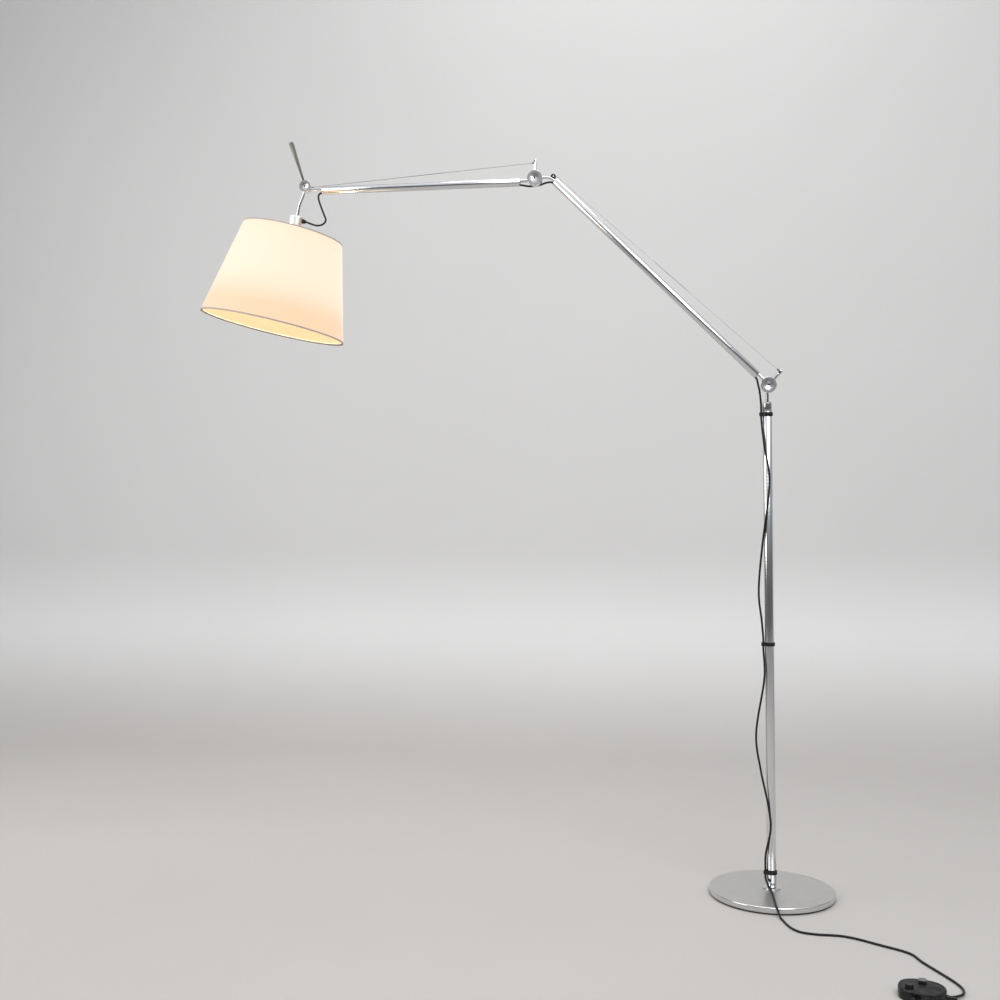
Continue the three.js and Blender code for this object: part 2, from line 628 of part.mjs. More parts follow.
// Out of the lower arm, round the back of the elbow and into the upper arm.
const ELBOW_CABLE = [
  onLower(812, FRONT_Y, inLower), onLower(823.5, FRONT_Y, inLower), at(-583.8, -10.4, 1961.2),
  at(-589.4, -8.4, 1963.6), at(-597, -3.6, 1965), at(-606.5, 2.4, 1965.4), at(-616, 7, 1964),
  at(-626, 8.4, 1961.8), at(-640, 8.4, 1960.4), at(-652, 7.2, 1960.2), at(-664, 3.4, 1961.2),
  at(-674, 0.6, 1962.6), onUpper(47, 0, inUpper), onUpper(56, 0, inUpper),
];

// Out of the upper arm in a loose loop and into the gland on the lamp holder.
const gland = at(CAP_R + 9, 0, GLAND_Z).applyAxisAngle(at(0, 1, 0), SHADE_LEAN * RAD).add(HOLDER);
const HEAD_CABLE = [
  onUpper(612, 0, inUpper), onUpper(627.5, 0, inUpper), at(-1270.2, -0.8, 1970.8), at(-1275, -1.6, 1965.8),
  at(-1276, -2.4, 1957.5), at(-1272.8, -3.6, 1945), at(-1265.2, -5.6, 1925), at(-1256.6, -7.2, 1904),
  at(-1251.4, -8.4, 1890), at(-1254.6, -9.4, 1880.6), at(-1264.8, -10, 1874.4), at(-1279, -10.4, 1873.6),
  at(-1295, -10.6, 1878.8), gland,
];

const cables = new THREE.Group();
const postEnd = [onLower(51, FRONT_Y, inLower), onLower(68, FRONT_Y, inLower)];
const lowerRun = [onLower(69, FRONT_Y, inLower), onLower(813, FRONT_Y, inLower)];
const upperRun = [onUpper(57, 0, inUpper), onUpper(613, 0, inUpper)];
cables.add(part('post_cable', cable(POST_CABLE, 1, ...postEnd), RUBBER()));
cables.add(part('elbow_cable', cable(ELBOW_CABLE, 1, ...lowerRun), RUBBER()));
cables.add(part('head_cable', cable(HEAD_CABLE, 2, ...upperRun), RUBBER()));

// ---------------------------------------------------------------- lamp cord, dimmer and plug
// A point in the dimmer's own frame, along it and across it.
function onDimmer(along, across, z) {
  const c = Math.cos(DIMMER.turn * RAD);
  const s = Math.sin(DIMMER.turn * RAD);
  return at(DIMMER.x + along * c - across * s, DIMMER.y + along * s + across * c, z);
}

const FLOOR_Z = CORD_R + 0.35;       // cord axis where it lies on the floor
const ON_BASE = BASE_TOP + FLOOR_Z + 0.15;

// From the upper clip down the pole in slack curves, over the base and across the floor.
const LAMP_CORD = [
  AT_CLIP(1303), AT_CLIP(1286), at(-9, -14.8, 1207), at(3.4, -17.2, 1125), at(-4.8, -16.8, 1029),
  at(-16, -8.6, 943), at(-27, -5, 808), at(-19.4, -4.4, 732), AT_CLIP(685), AT_CLIP(659),
  at(-13.8, -11, 590), at(-37.6, -6, 424), at(-26, -7.4, 333),
  at(-6.5, -16.8, 234), at(-2.2, -17.6, 180), at(-15.4, -8.8, 108), AT_CLIP(70), AT_CLIP(53),
  AT_CLIP(46), at(-12.4, -13.6, 35), at(-6.8, -27, 25.4), at(-3, -44, ON_BASE + 0.5), at(-0.8, -110, ON_BASE),
  at(0.4, -159, ON_BASE + 0.1), at(2, -171.5, ON_BASE - 2.6), at(4.6, -180, 12), at(7.6, -189, 5.6),
  at(12, -203, FLOOR_Z), at(31, -263, FLOOR_Z), at(52, -285, FLOOR_Z), at(84, -293, FLOOR_Z),
  at(150, -296.5, FLOOR_Z), at(229, -344, FLOOR_Z), at(284, -386, FLOOR_Z), at(301, -434, FLOOR_Z),
  at(348, -544, FLOOR_Z), at(355, -576, FLOOR_Z), at(350, -604, 4.2), at(336, -624, 6.4),
  onDimmer(DIMMER_HALF.length + 4, 0, 8),
];

// From the dimmer's front to the coil that holds the rest of the lead.
const SUPPLY_CORD = [
  onDimmer(-14, -DIMMER_HALF.width - 0.6, 8), onDimmer(-14, -DIMMER_HALF.width - 12, 6.4),
  at(240.6, -695, 3.6), at(239.9, -708, FLOOR_Z), at(239.8, -722, FLOOR_Z),
];

// The dimmer's egg-shaped outline at a given inset.
function dimmerOutline(inset) {
  const outline = new THREE.Shape();
  const steps = 32;
  const power = 0.84;
  for (let i = 0; i < steps; i += 1) {
    const a = (2 * Math.PI * i) / steps;
    const [c, s] = [Math.cos(a), Math.sin(a)];
    const x = (DIMMER_HALF.length - inset) * Math.sign(c) * Math.abs(c) ** power;
    const y = (DIMMER_HALF.width - inset) * Math.sign(s) * Math.abs(s) ** power;
    const go = i ? 'lineTo' : 'moveTo';
    outline[go](x, y);
  }
  outline.closePath();
  return outline;
}

function dimmerSlab(inset, low, high, rounding) {
  const g = new THREE.ExtrudeGeometry(dimmerOutline(inset + rounding), {
    depth: high - low - rounding, bevelEnabled: rounding > 0, bevelThickness: rounding,
    bevelSize: rounding, bevelSegments: 2,
  });
  return closed(g.translate(0, 0, low));
}

const DIAL_AT = { x: -23.8, y: -21.4 };
const KEY_AT = { x: 0, y: 14 };
const SPLIT_Z = 11;

// Lower half: a tray, so that the board lies inside.
function dimmerTray() {
  const outer = solid(dimmerSlab(0.6, 0, SPLIT_Z, 0));
  const inner = solid(dimmerSlab(3, 2, SPLIT_Z + 4, 0));
  return surface(outer.subtract(inner));
}

function dimmerCover() {
  const outer = solid(dimmerSlab(0.6, SPLIT_Z + GAP, 24, 5)).intersect(
    solid(new THREE.BoxGeometry(200, 200, 40).translate(0, 0, SPLIT_Z + GAP + 20)));
  const inner = solid(dimmerSlab(3.4, SPLIT_Z - 6, 21.6, 0));
  const dialHole = solid(bar(at(DIAL_AT.x, DIAL_AT.y, 18), at(DIAL_AT.x, DIAL_AT.y, 30), 3.4));
  const keyHole = solid(new THREE.BoxGeometry(17, 19, 20).translate(KEY_AT.x, KEY_AT.y, 24));
  return surface(outer.subtract(inner).subtract(dialHole).subtract(keyHole));
}

// Fluted dial on its spindle.
function dimmerDial() {
  const knob = new THREE.Shape();
  const steps = 36;
  for (let i = 0; i < steps; i += 1) {
    const a = (2 * Math.PI * i) / steps;
    const r = 8 + 0.9 * Math.cos(6 * a);
    const go = i ? 'lineTo' : 'moveTo';
    knob[go](r * Math.cos(a), r * Math.sin(a));
  }
  knob.closePath();
  const grip = new THREE.ExtrudeGeometry(knob, {
    depth: 7, bevelEnabled: true, bevelThickness: 0.8, bevelSize: 0.8, bevelSegments: 1,
  });
  const spindle = bar(at(0, 0, 15), at(0, 0, 26), 3);
  return surface(solid(grip.translate(0, 0, 25.2)).add(solid(spindle)));
}

function dimmerKey() {
  const face = new THREE.Shape();
  const [w, d, r] = [8, 9, 3];
  face.moveTo(-w + r, -d);
  face.lineTo(w - r, -d);
  face.absarc(w - r, -d + r, r, -Math.PI / 2, 0);
  face.lineTo(w, d - r);
  face.absarc(w - r, d - r, r, 0, Math.PI / 2);
  face.lineTo(-w + r, d);
  face.absarc(-w + r, d - r, r, Math.PI / 2, Math.PI);
  face.lineTo(-w, -d + r);
  face.absarc(-w + r, -d + r, r, Math.PI, 1.5 * Math.PI);
  const cap = new THREE.ExtrudeGeometry(face, {
    depth: 13, bevelEnabled: true, bevelThickness: 1, bevelSize: 0, bevelSegments: 1, curveSegments: 3,
  });
  return closed(cap.translate(0, 0, 18.6));
}

const dimmer = new THREE.Group();
dimmer.position.set(DIMMER.x, DIMMER.y, 0);
dimmer.rotation.z = DIMMER.turn * RAD;
dimmer.add(part('dimmer_tray', dimmerTray(), BLACK()));
dimmer.add(part('dimmer_cover', dimmerCover(), BLACK()));
const board = new THREE.BoxGeometry(62, 44, 1.6).translate(-2, 0, 9);
dimmer.add(part('dimmer_board', closed(board), finish(0x2c5a3a, 0.6, 0)));
const dial = part('dimmer_dial', dimmerDial(), BLACK());
dial.position.set(DIAL_AT.x, DIAL_AT.y, 0);
const key = part('dimmer_key', dimmerKey(), finish(0x4c4c4c, 0.6, 0));
key.position.set(KEY_AT.x, KEY_AT.y, 0);
dimmer.add(dial, key);

// The coil of the supply lead, drawn as the ring that its turns fill.
function leadCoil() {
  const { inner, outer, height } = COIL;
  return turned([
    [inner, 0.1], [outer, 0.1], [outer, height - 3.4], [outer - 3.4, height], [inner + 3.4, height],
    [inner, height - 3.4], [inner, 0.1],
  ], FACETS.round).translate(COIL.x, COIL.y, 0);
}

// Flat two-pin plug, lying beside the coil with its strain relief towards it.
function plug() {
  const body = new THREE.Shape();
  body.moveTo(0, -5.5);
  body.quadraticCurveTo(-8, -12, -14, -12);
  body.lineTo(-35, -12);
  body.lineTo(-35, 12);
  body.lineTo(-14, 12);
  body.quadraticCurveTo(-8, 12, 0, 5.5);
  body.closePath();
  const shell = new THREE.ExtrudeGeometry(body, {
    depth: 10, bevelEnabled: true, bevelThickness: 1.6, bevelSize: 1.2, bevelSegments: 2, curveSegments: 5,
  });
  const middle = 7.2;
  let whole = solid(shell.translate(-25, 0, middle - 5));
  whole = whole.add(solid(bar(at(-26, 0, middle), at(0, 0, middle), 5, FACETS.tiny, 3.3)));
  for (const side of [-9.5, 9.5]) {
    whole = whole.add(solid(bar(at(-58, side, middle), at(-80, side, middle), 2)));
  }
  return surface(whole);
}

const cord = new THREE.Group();
cord.add(part('lamp_cord', swept(LAMP_CORD, CORD_R, 8, 2), RUBBER()));
cord.add(part('supply_cord', swept(SUPPLY_CORD, CORD_R, 8, 1), RUBBER()));
cord.add(part('supply_cord_coil', leadCoil(), RUBBER()));
const plugMesh = part('supply_plug', plug(), BLACK());
plugMesh.position.set(COIL.x - 24, COIL.y - COIL.outer + CORD_R, 0);
cord.add(plugMesh);

const group = new THREE.Group();
group.add(stand, swivelHead, lowerArm, elbowJoint, upperArm, upperRoller, head, holder, wires, cables);
group.add(dimmer, cord);

export default group;
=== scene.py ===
"""Looks of an adjustable arm floor lamp: round base, slim pole, two balanced arms, conical shade."""
import json
import logging
import math
from collections.abc import Callable, Sequence
from dataclasses import dataclass, field
from enum import Enum

import bmesh
import bpy
from mathutils import Matrix, Vector


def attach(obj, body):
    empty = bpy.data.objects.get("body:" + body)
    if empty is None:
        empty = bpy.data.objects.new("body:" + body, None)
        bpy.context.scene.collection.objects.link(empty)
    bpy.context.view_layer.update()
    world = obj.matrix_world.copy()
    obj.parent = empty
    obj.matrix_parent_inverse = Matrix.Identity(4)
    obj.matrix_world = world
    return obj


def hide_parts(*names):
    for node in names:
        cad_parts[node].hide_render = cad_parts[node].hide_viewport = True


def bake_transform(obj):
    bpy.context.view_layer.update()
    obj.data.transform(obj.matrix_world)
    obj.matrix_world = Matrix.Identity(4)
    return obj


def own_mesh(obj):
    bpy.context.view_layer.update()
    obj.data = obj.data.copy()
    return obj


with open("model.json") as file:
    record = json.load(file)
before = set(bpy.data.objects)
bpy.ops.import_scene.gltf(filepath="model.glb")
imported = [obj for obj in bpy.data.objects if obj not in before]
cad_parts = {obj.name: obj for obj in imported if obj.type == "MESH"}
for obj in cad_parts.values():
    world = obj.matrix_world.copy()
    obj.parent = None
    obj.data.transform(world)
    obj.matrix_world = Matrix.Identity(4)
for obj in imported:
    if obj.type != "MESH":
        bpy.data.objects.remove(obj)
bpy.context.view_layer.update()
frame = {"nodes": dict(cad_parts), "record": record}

MM = 0.001
Outline = list[tuple[float, float]]
Rgb = tuple[float, float, float]
log = logging.getLogger("floor_lamp")


# ---------------------------------------------------------------- places, in millimetres
def pivot(joint: str) -> Vector:
    """Returns the point that a joint of the record turns about."""
    found = next(j for j in frame["record"]["behaviour"]["joints"] if j["name"] == joint)
    return Vector(found["pos_m"]) / MM


def turn(degrees: float, axis: str) -> Matrix:
    """Returns a turn about one of the main axes."""
    return Matrix.Rotation(math.radians(degrees), 4, axis)


LOWER_JOINT = pivot("lower_arm_hinge")
ELBOW = pivot("elbow_hinge")
HEAD = pivot("head_tilt")
HOLDER = pivot("shade_swivel")
SHADE_LEAN = 12.87
LOWER = Matrix.Translation(LOWER_JOINT) @ turn(45.6, "Y")
UPPER = Matrix.Translation(ELBOW) @ turn(0.85, "Y")
HOLDER_PLACE = Matrix.Translation(HOLDER) @ turn(SHADE_LEAN, "Y")
DIMMER_PLACE = Matrix.Translation((263, -626, 0)) @ turn(-14, "Z")
STAND = Matrix.Identity(4)
ON_Y = turn(-90, "X")
ALONG_ARM = turn(-90, "Y")
FRONT_Y = -10.6
DISC_T = 9.0
DISC_R = 21.5
LEVER_EYE = 46.5
CORD_R = 2.75
CORD_AT_CLIP = (-16.1, -3.7)
FLOOR_Z = CORD_R + 0.35
ON_BASE = 21.75


def on_arm(place: Matrix, along: float, y: float, rise: float) -> Vector:
    """Returns the lamp's own point for one given along an arm, across it and above it."""
    return place @ Vector((-along, y, rise))


# ---------------------------------------------------------------- node trees
class Value:
    """A node socket that takes part in Python arithmetic.

    Args:
        tree: The node tree that the Math nodes are added to.
        socket: The output socket that holds the value.
    """

    def __init__(self, tree: "Tree", socket: bpy.types.NodeSocket) -> None:
        """Keeps the tree and the socket."""
        self.tree = tree
        self.socket = socket

    def _math(self, operation: str, first: object, second: object = 0.0) -> "Value":
        """Adds one Math node and returns its result."""
        made = self.tree.node("ShaderNodeMath", {"operation": operation}, {0: first, 1: second})
        return Value(self.tree, made.outputs[0])

    def __add__(self, other: object) -> "Value":
        """Returns the sum."""
        return self._math("ADD", self, other)

    __radd__ = __add__

    def __sub__(self, other: object) -> "Value":
        """Returns the difference."""
        return self._math("SUBTRACT", self, other)

    def __rsub__(self, other: object) -> "Value":
        """Returns the reflected difference."""
        return self._math("SUBTRACT", other, self)

    def __mul__(self, other: object) -> "Value":
        """Returns the product."""
        return self._math("MULTIPLY", self, other)

    __rmul__ = __mul__

    def __truediv__(self, other: object) -> "Value":
        """Returns the quotient."""
        return self._math("DIVIDE", self, other)

    def sine(self) -> "Value":
        """Returns the sine."""
        return self._math("SINE", self)

    def beyond(self, limit: float) -> "Value":
        """Returns 1 where the value is greater than a limit, and 0 elsewhere."""
        return self._math("GREATER_THAN", self, limit)

    def above(self, edge: float, width: float) -> "Value":
        """Returns a mask that rises from 0 to 1 across an edge of the given width."""
        made = self.tree.node("ShaderNodeMapRange", {"interpolation_type": "SMOOTHSTEP", "clamp": True}, {
            "Value": self, "From Min": edge - width / 2, "From Max": edge + width / 2})
        return Value(self.tree, made.outputs[0])


class Tree:
    """A node tree under construction, for a material or for Geometry Nodes.

    Args:
        nodes: The Blender node tree.
    """

    def __init__(self, nodes: bpy.types.NodeTree) -> None:
        """Keeps the Blender tree."""
        self.nodes = nodes

    def node(self, kind: str, settings: dict[str, object] | None = None,
             values: dict[object, object] | None = None) -> bpy.types.Node:
        """Adds a node.

        Args:
            kind: The node's type name.
            settings: Properties, set before the sockets; "stops" holds a ramp's positions and colours.
            values: Numbers, colours or links, by socket identifier, name or place in the list.

        Returns:
            The new node.
        """
        made = self.nodes.nodes.new(kind)
        for key, setting in (settings or {}).items():
            if key == "stops":
                self._stops(made.color_ramp, setting)
            else:
                setattr(made, key, setting)
        for key, value in (values or {}).items():
            self.feed(self._socket(made.inputs, key), value)
        return made

    @staticmethod
    def _stops(ramp: bpy.types.ColorRamp, stops: Sequence[tuple[float, Rgb]]) -> None:
        """Fills a colour ramp."""
        while len(ramp.elements) < len(stops):
            ramp.elements.new(0.5)
        for element, (place, colour) in zip(ramp.elements, stops):
            element.position = place
            element.color = (*colour, 1)

    @staticmethod
    def _socket(sockets: bpy.types.NodeInputs, key: object) -> bpy.types.NodeSocket:
        """Finds a socket by its identifier, its name or its place in the list."""
        if isinstance(key, int):
            return sockets[key]
        named = [s for s in sockets if key in (s.identifier, s.name)]
        return sorted(named, key=lambda s: s.identifier != key)[0]

    def feed(self, socket: bpy.types.NodeSocket, value: object) -> None:
        """Links a value to a socket, or sets the socket's own number."""
        if isinstance(value, Value):
            value = value.socket
        if isinstance(value, bpy.types.Node):
            value = value.outputs[0]
        if isinstance(value, bpy.types.NodeSocket):
            self.nodes.links.new(value, socket)
        else:
            socket.default_value = value


class Source(Enum):
    """Where a pattern's coordinates come from."""

    GRAIN = "grain"
    OBJECT = "object"


class Lay(Enum):
    """The way that the fine lines of a worked surface run."""

    ALONG = "along"
    ROUND = "round"
    EVEN = "even"


class Paint(Tree):
    """A material's tree, with its Principled shader ready.

    Args:
        name: The material's name.
    """

    def __init__(self, name: str) -> None:
        """Makes the material and finds its shader."""
        self.material = bpy.data.materials.new(name)
        self.material.use_nodes = True
        super().__init__(self.material.node_tree)
        self.shader = next(n for n in self.nodes.nodes if n.type == "BSDF_PRINCIPLED")

    def place(self, source: Source, stretch: tuple[float, float, float]) -> bpy.types.Node:
        """Returns coordinates in millimetres, stretched along each axis."""
        if source is Source.GRAIN:
            start = self.node("ShaderNodeAttribute", {"attribute_name": "grain"}).outputs["Vector"]
            scale = stretch
        else:
            start = self.node("ShaderNodeTexCoord").outputs["Object"]
            scale = tuple(s / MM for s in stretch)
        return self.node("ShaderNodeMapping", {}, {"Vector": start, "Scale": scale})

    def noise(self, where: bpy.types.Node, scale: float, detail: float = 3.0, rough: float = 0.55) -> Value:
        """Returns a noise pattern from 0 to 1."""
        made = self.node("ShaderNodeTexNoise", {}, {
            "Vector": where, "Scale": scale, "Detail": detail, "Roughness": rough})
        return Value(self, made.outputs[0])

    def between(self, mask: Value, first: Rgb, second: Rgb) -> bpy.types.NodeSocket:
        """Returns the colour from first to second as the mask goes from 0 to 1."""
        made = self.node("ShaderNodeMix", {"data_type": "RGBA"}, {
            "Factor_Float": mask, "A_Color": (*first, 1), "B_Color": (*second, 1)})
        return next(s for s in made.outputs if s.identifier == "Result_Color")

    def bump(self, height: Value, depth: float) -> None:
        """Feeds a height pattern to the shader's normal, its depth in millimetres."""
        made = self.node("ShaderNodeBump", {}, {"Height": height, "Distance": depth * MM, "Strength": 1.0})
        self.feed(self.shader.inputs["Normal"], made.outputs["Normal"])

    def set(self, **values: object) -> None:
        """Sets or links sockets of the shader, their names written with low lines."""
        for key, value in values.items():
            self.feed(self.shader.inputs[key.replace("_", " ").title().replace("Ior", "IOR")], value)


# ---------------------------------------------------------------- finishes
@dataclass(frozen=True)
class Finish:
    """A finish with a name, an even colour and a roughness."""

    name: str
    colour: Rgb
    roughness: float
    source: Source = Source.GRAIN

    def material(self) -> bpy.types.Material:
        """Returns the finish's material, made once."""
        title = f"{self.name}_{self.source.value}"
        found = bpy.data.materials.get(title)
        if found:
            return found
        paint = Paint(title)
        self.lay_on(paint)
        return paint.material

    def lay_on(self, paint: Paint) -> None:
        """Fills the material's tree."""
        raise NotImplementedError


@dataclass(frozen=True)
class Metal(Finish):
    """Bare metal with fine tool lines, faint cloudiness and a few rubbed spots."""

    lay: Lay = Lay.ALONG
    line: float = 0.12
    depth: float = 0.002
    cloud: float = 0.06

    def lay_on(self, paint: Paint) -> None:
        """Fills the tree with tool lines in roughness and bump."""
        fine, slow = 2.6, 0.03
        stretch = {Lay.ALONG: (fine, fine, slow), Lay.ROUND: (slow, slow, fine), Lay.EVEN: (fine, fine, fine)}
        lines = paint.noise(paint.place(self.source, stretch[self.lay]), 1.0, 4.0, 0.6)
        cloud = paint.noise(paint.place(self.source, (0.035, 0.035, 0.035)), 1.0, 3.0)
        specks = paint.noise(paint.place(self.source, (0.5, 0.5, 0.5)), 1.0, 2.0).above(0.72, 0.05)
        dull = tuple(c * (1 - 2.2 * self.cloud) for c in self.colour)
        tone = (lines * 0.55 + cloud * 0.45).above(0.5, 0.5)
        base = self.roughness - self.line / 2 - 0.04
        paint.set(base_color=paint.between(tone, dull, self.colour), metallic=1.0,
                  roughness=lines * self.line + cloud * 0.08 + specks * 0.08 + base)
        paint.bump(lines + specks * 0.3, self.depth)


@dataclass(frozen=True)
class Moulded(Finish):
    """Moulded plastic or rubber with a fine spark-eroded texture and dull scuffs."""

    texture: float = 0.02
    pitch: float = 2.2
    specular: float = 0.5

    def lay_on(self, paint: Paint) -> None:
        """Fills the tree with the mould's texture."""
        skin = paint.noise(paint.place(self.source, (1, 1, 1)), self.pitch, 3.0, 0.6)
        scuff = paint.noise(paint.place(self.source, (0.06, 0.06, 0.06)), 1.0, 4.0, 0.65).above(0.58, 0.2)
        worn = tuple(c + 0.02 + 0.10 * c for c in self.colour)
        paint.set(base_color=paint.between(scuff, self.colour, worn), specular_ior_level=self.specular,
                  roughness=skin * 0.1 + scuff * 0.08 + (self.roughness - 0.08))
        paint.bump(skin, self.texture)


@dataclass(frozen=True)
class CordSheath(Finish):
    """Round rubber cord: faint lengthwise draw lines and a dusty bloom."""

    def lay_on(self, paint: Paint) -> None:
        """Fills the tree with draw lines and bloom."""
        lines = paint.noise(paint.place(self.source, (1.4, 1.4, 0.05)), 1.0, 2.0)
        dust = paint.noise(paint.place(self.source, (0.02, 0.02, 0.03)), 1.0, 4.0, 0.7).above(0.55, 0.3)
        pale = tuple(c + 0.008 for c in self.colour)
        paint.set(base_color=paint.between(dust, self.colour, pale), specular_ior_level=0.3,
                  roughness=lines * 0.15 + dust * 0.12 + (self.roughness - 0.1))
        paint.bump(lines, 0.03)


@dataclass(frozen=True)
class ShadeCloth(Finish):
    """Fine woven shade cloth, lit from inside: warm, brightest at the height of the bulb."""

    strength: float = 1.0
    inside: bool = False

    def lay_on(self, paint: Paint) -> None:
        """Fills the tree with the weave and the glow of the lamp behind it."""
        grain = paint.node("ShaderNodeAttribute", {"attribute_name": "grain"}).outputs["Vector"]
        split = paint.node("ShaderNodeSeparateXYZ", {}, {0: grain})
        around, down = Value(paint, split.outputs[0]), Value(paint, split.outputs[2])
        warp = (around * 4.2).sine()
        weft = (down * 5.2).sine()
        slub = paint.noise(paint.place(Source.GRAIN, (0.15, 0.15, 2.4)), 1.0, 3.0, 0.6)
        nap = paint.noise(paint.place(Source.GRAIN, (2.2, 2.2, 0.2)), 1.0, 2.0)
        weave = warp * weft * 0.25 + slub * 0.5 + nap * 0.3
        far = (down - 92.0) / 150.0
        hot = 1.0 - (far * far).above(0.55, 1.1)
        cream, glow = (0.84, 0.575, 0.36), (0.90, 0.765, 0.60)
        # The inner face of the same cloth gets its own painted glow, deeper and warmer than the outer face's.
        if self.inside:
            cream, glow = (0.80, 0.50, 0.27), (0.86, 0.60, 0.36)
        lit = paint.between(hot * 0.92 + (weave - 0.4) * 0.14, cream, glow)
        seam = 1.0 - (around * around).above(5.0, 3.0)
        paint.set(base_color=paint.between(weave, (0.15, 0.125, 0.10), (0.20, 0.17, 0.14)), roughness=0.9,
                  sheen_weight=0.25, emission_strength=self.strength,
                  emission_color=self._with_seam(paint, lit, seam))
        paint.bump(weave, 0.05)

    @staticmethod
    def _with_seam(paint: Paint, lit: bpy.types.NodeSocket, seam: Value) -> bpy.types.NodeSocket:
        """Darkens the glow where the cloth overlaps at its seam."""
        made = paint.node("ShaderNodeMix", {"data_type": "RGBA", "blend_type": "MULTIPLY"}, {
            "Factor_Float": seam, "A_Color": lit, "B_Color": (0.93, 0.84, 0.72, 1)})
        return next(s for s in made.outputs if s.identifier == "Result_Color")


@dataclass(frozen=True)
class Opal(Finish):
    """Opal glass of the lit bulb."""

    strength: float = 6.0

    def lay_on(self, paint: Paint) -> None:
        """Fills the tree with a soft, slightly uneven glow."""
        even = paint.noise(paint.place(self.source, (0.08, 0.08, 0.08)), 1.0, 2.0)
        paint.set(base_color=(0.9, 0.88, 0.82, 1), roughness=0.3, emission_strength=self.strength,
                  emission_color=paint.between(even, (1.0, 0.74, 0.42), (1.0, 0.80, 0.50)))


@dataclass(frozen=True)
class Floor(Finish):
    """Pale painted floor and wall with faint cloudiness, clear when seen from behind."""

    floor_colour: Rgb = (0.41, 0.393, 0.379)

    def lay_on(self, paint: Paint) -> None:
        """Fills the tree with slow cloudiness and clears its rear side."""
        cloud = paint.noise(paint.place(Source.OBJECT, (0.0012, 0.0012, 0.0012)), 1.0, 3.0)
        split = paint.node("ShaderNodeSeparateXYZ", {}, {0: paint.place(Source.OBJECT, (0.001, 0.001, 0.001))})
        wall = Value(paint, split.outputs[2]).above(0.25, 0.6)
        tone = wall * 0.9 + cloud * 0.1
        paint.set(base_color=paint.between(tone, self.floor_colour, self.colour), roughness=self.roughness)
        rear = paint.node("ShaderNodeNewGeometry").outputs["Backfacing"]
        clear = paint.node("ShaderNodeBsdfTransparent")
        mixed = paint.node("ShaderNodeMixShader", {}, {0: rear, 1: clear, 2: paint.shader})
        end = next(n for n in paint.nodes.nodes if n.type == "OUTPUT_MATERIAL")
        paint.feed(end.inputs["Surface"], mixed)


POLISHED = Metal("polished_aluminium", (0.74, 0.745, 0.755), 0.15, line=0.08, depth=0.0008, cloud=0.03)
CAP = Metal("satin_cap", (0.90, 0.895, 0.885), 0.48, lay=Lay.ROUND, line=0.10, depth=0.002, cloud=0.03)
SATIN = Metal("satin_aluminium", (0.62, 0.615, 0.60), 0.36, lay=Lay.ROUND, line=0.14, depth=0.003, cloud=0.05)
TURNED = Metal("turned_aluminium", (0.84, 0.845, 0.85), 0.24, lay=Lay.ROUND, line=0.10, depth=0.0015)
CHROME = Metal("flange_chrome", (0.70, 0.705, 0.71), 0.12, lay=Lay.ROUND, line=0.05, depth=0.0004)
STEEL = Metal("inner_steel", (0.42, 0.43, 0.44), 0.34, lay=Lay.EVEN, line=0.14, depth=0.004)
INNER_STEEL = Metal("inner_steel", (0.42, 0.43, 0.44), 0.36, source=Source.OBJECT, lay=Lay.EVEN)
HANDLE = Metal("handle_metal", (0.185, 0.178, 0.152), 0.44, lay=Lay.ALONG, line=0.14, depth=0.004, cloud=0.09)
BLACK_STEEL = Moulded("black_steel", (0.014, 0.014, 0.015), 0.36, texture=0.004, pitch=4.0)
BLACK_STEEL_CAD = Moulded("black_steel", (0.014, 0.014, 0.015), 0.36, source=Source.OBJECT, texture=0.004)
BLACK = Moulded("black_plastic", (0.007, 0.007, 0.0075), 0.40, texture=0.008, pitch=3.0, specular=0.35)
BLACK_CAD = Moulded("black_plastic", (0.013, 0.013, 0.014), 0.42, source=Source.OBJECT, texture=0.01)
CHARCOAL = Moulded("dimmer_charcoal", (0.013, 0.013, 0.014), 0.58, texture=0.03, pitch=1.7, specular=0.28)
GLOSS_WALL = Moulded("dimmer_gloss", (0.005, 0.005, 0.0055), 0.20, texture=0.002, specular=0.35)
KEY_GREY = Moulded("key_grey", (0.11, 0.11, 0.112), 0.5, texture=0.02, pitch=2.0)
WHITE = Moulded("white_plastic", (0.78, 0.76, 0.70), 0.42, texture=0.004)
BOARD = Moulded("board_green", (0.02, 0.10, 0.045), 0.5, source=Source.OBJECT, texture=0.01)
FRAME_WHITE = Moulded("frame_white", (0.76, 0.75, 0.72), 0.34, texture=0.006)
RUBBER = Moulded("foot_rubber", (0.017, 0.017, 0.018), 0.72, texture=0.05, pitch=1.2)
CORD = CordSheath("cord_black", (0.005, 0.005, 0.0055), 0.48)
CLOTH_OUT = ShadeCloth("shade_cloth", (0.9, 0.8, 0.6), 0.9)
# Inner face of the shade cloth: the same weave with its own painted glow colours.
CLOTH_IN = ShadeCloth("shade_inner_glow", (0.9, 0.8, 0.6), 0.9, strength=0.98, inside=True)
TRIM = Moulded("shade_trim", (0.42, 0.36, 0.34), 0.8, texture=0.03, pitch=1.4)
OPAL = Opal("bulb_opal", (0.9, 0.88, 0.82), 0.3)
FLOOR = Floor("studio_floor", (0.71, 0.705, 0.70), 0.75)


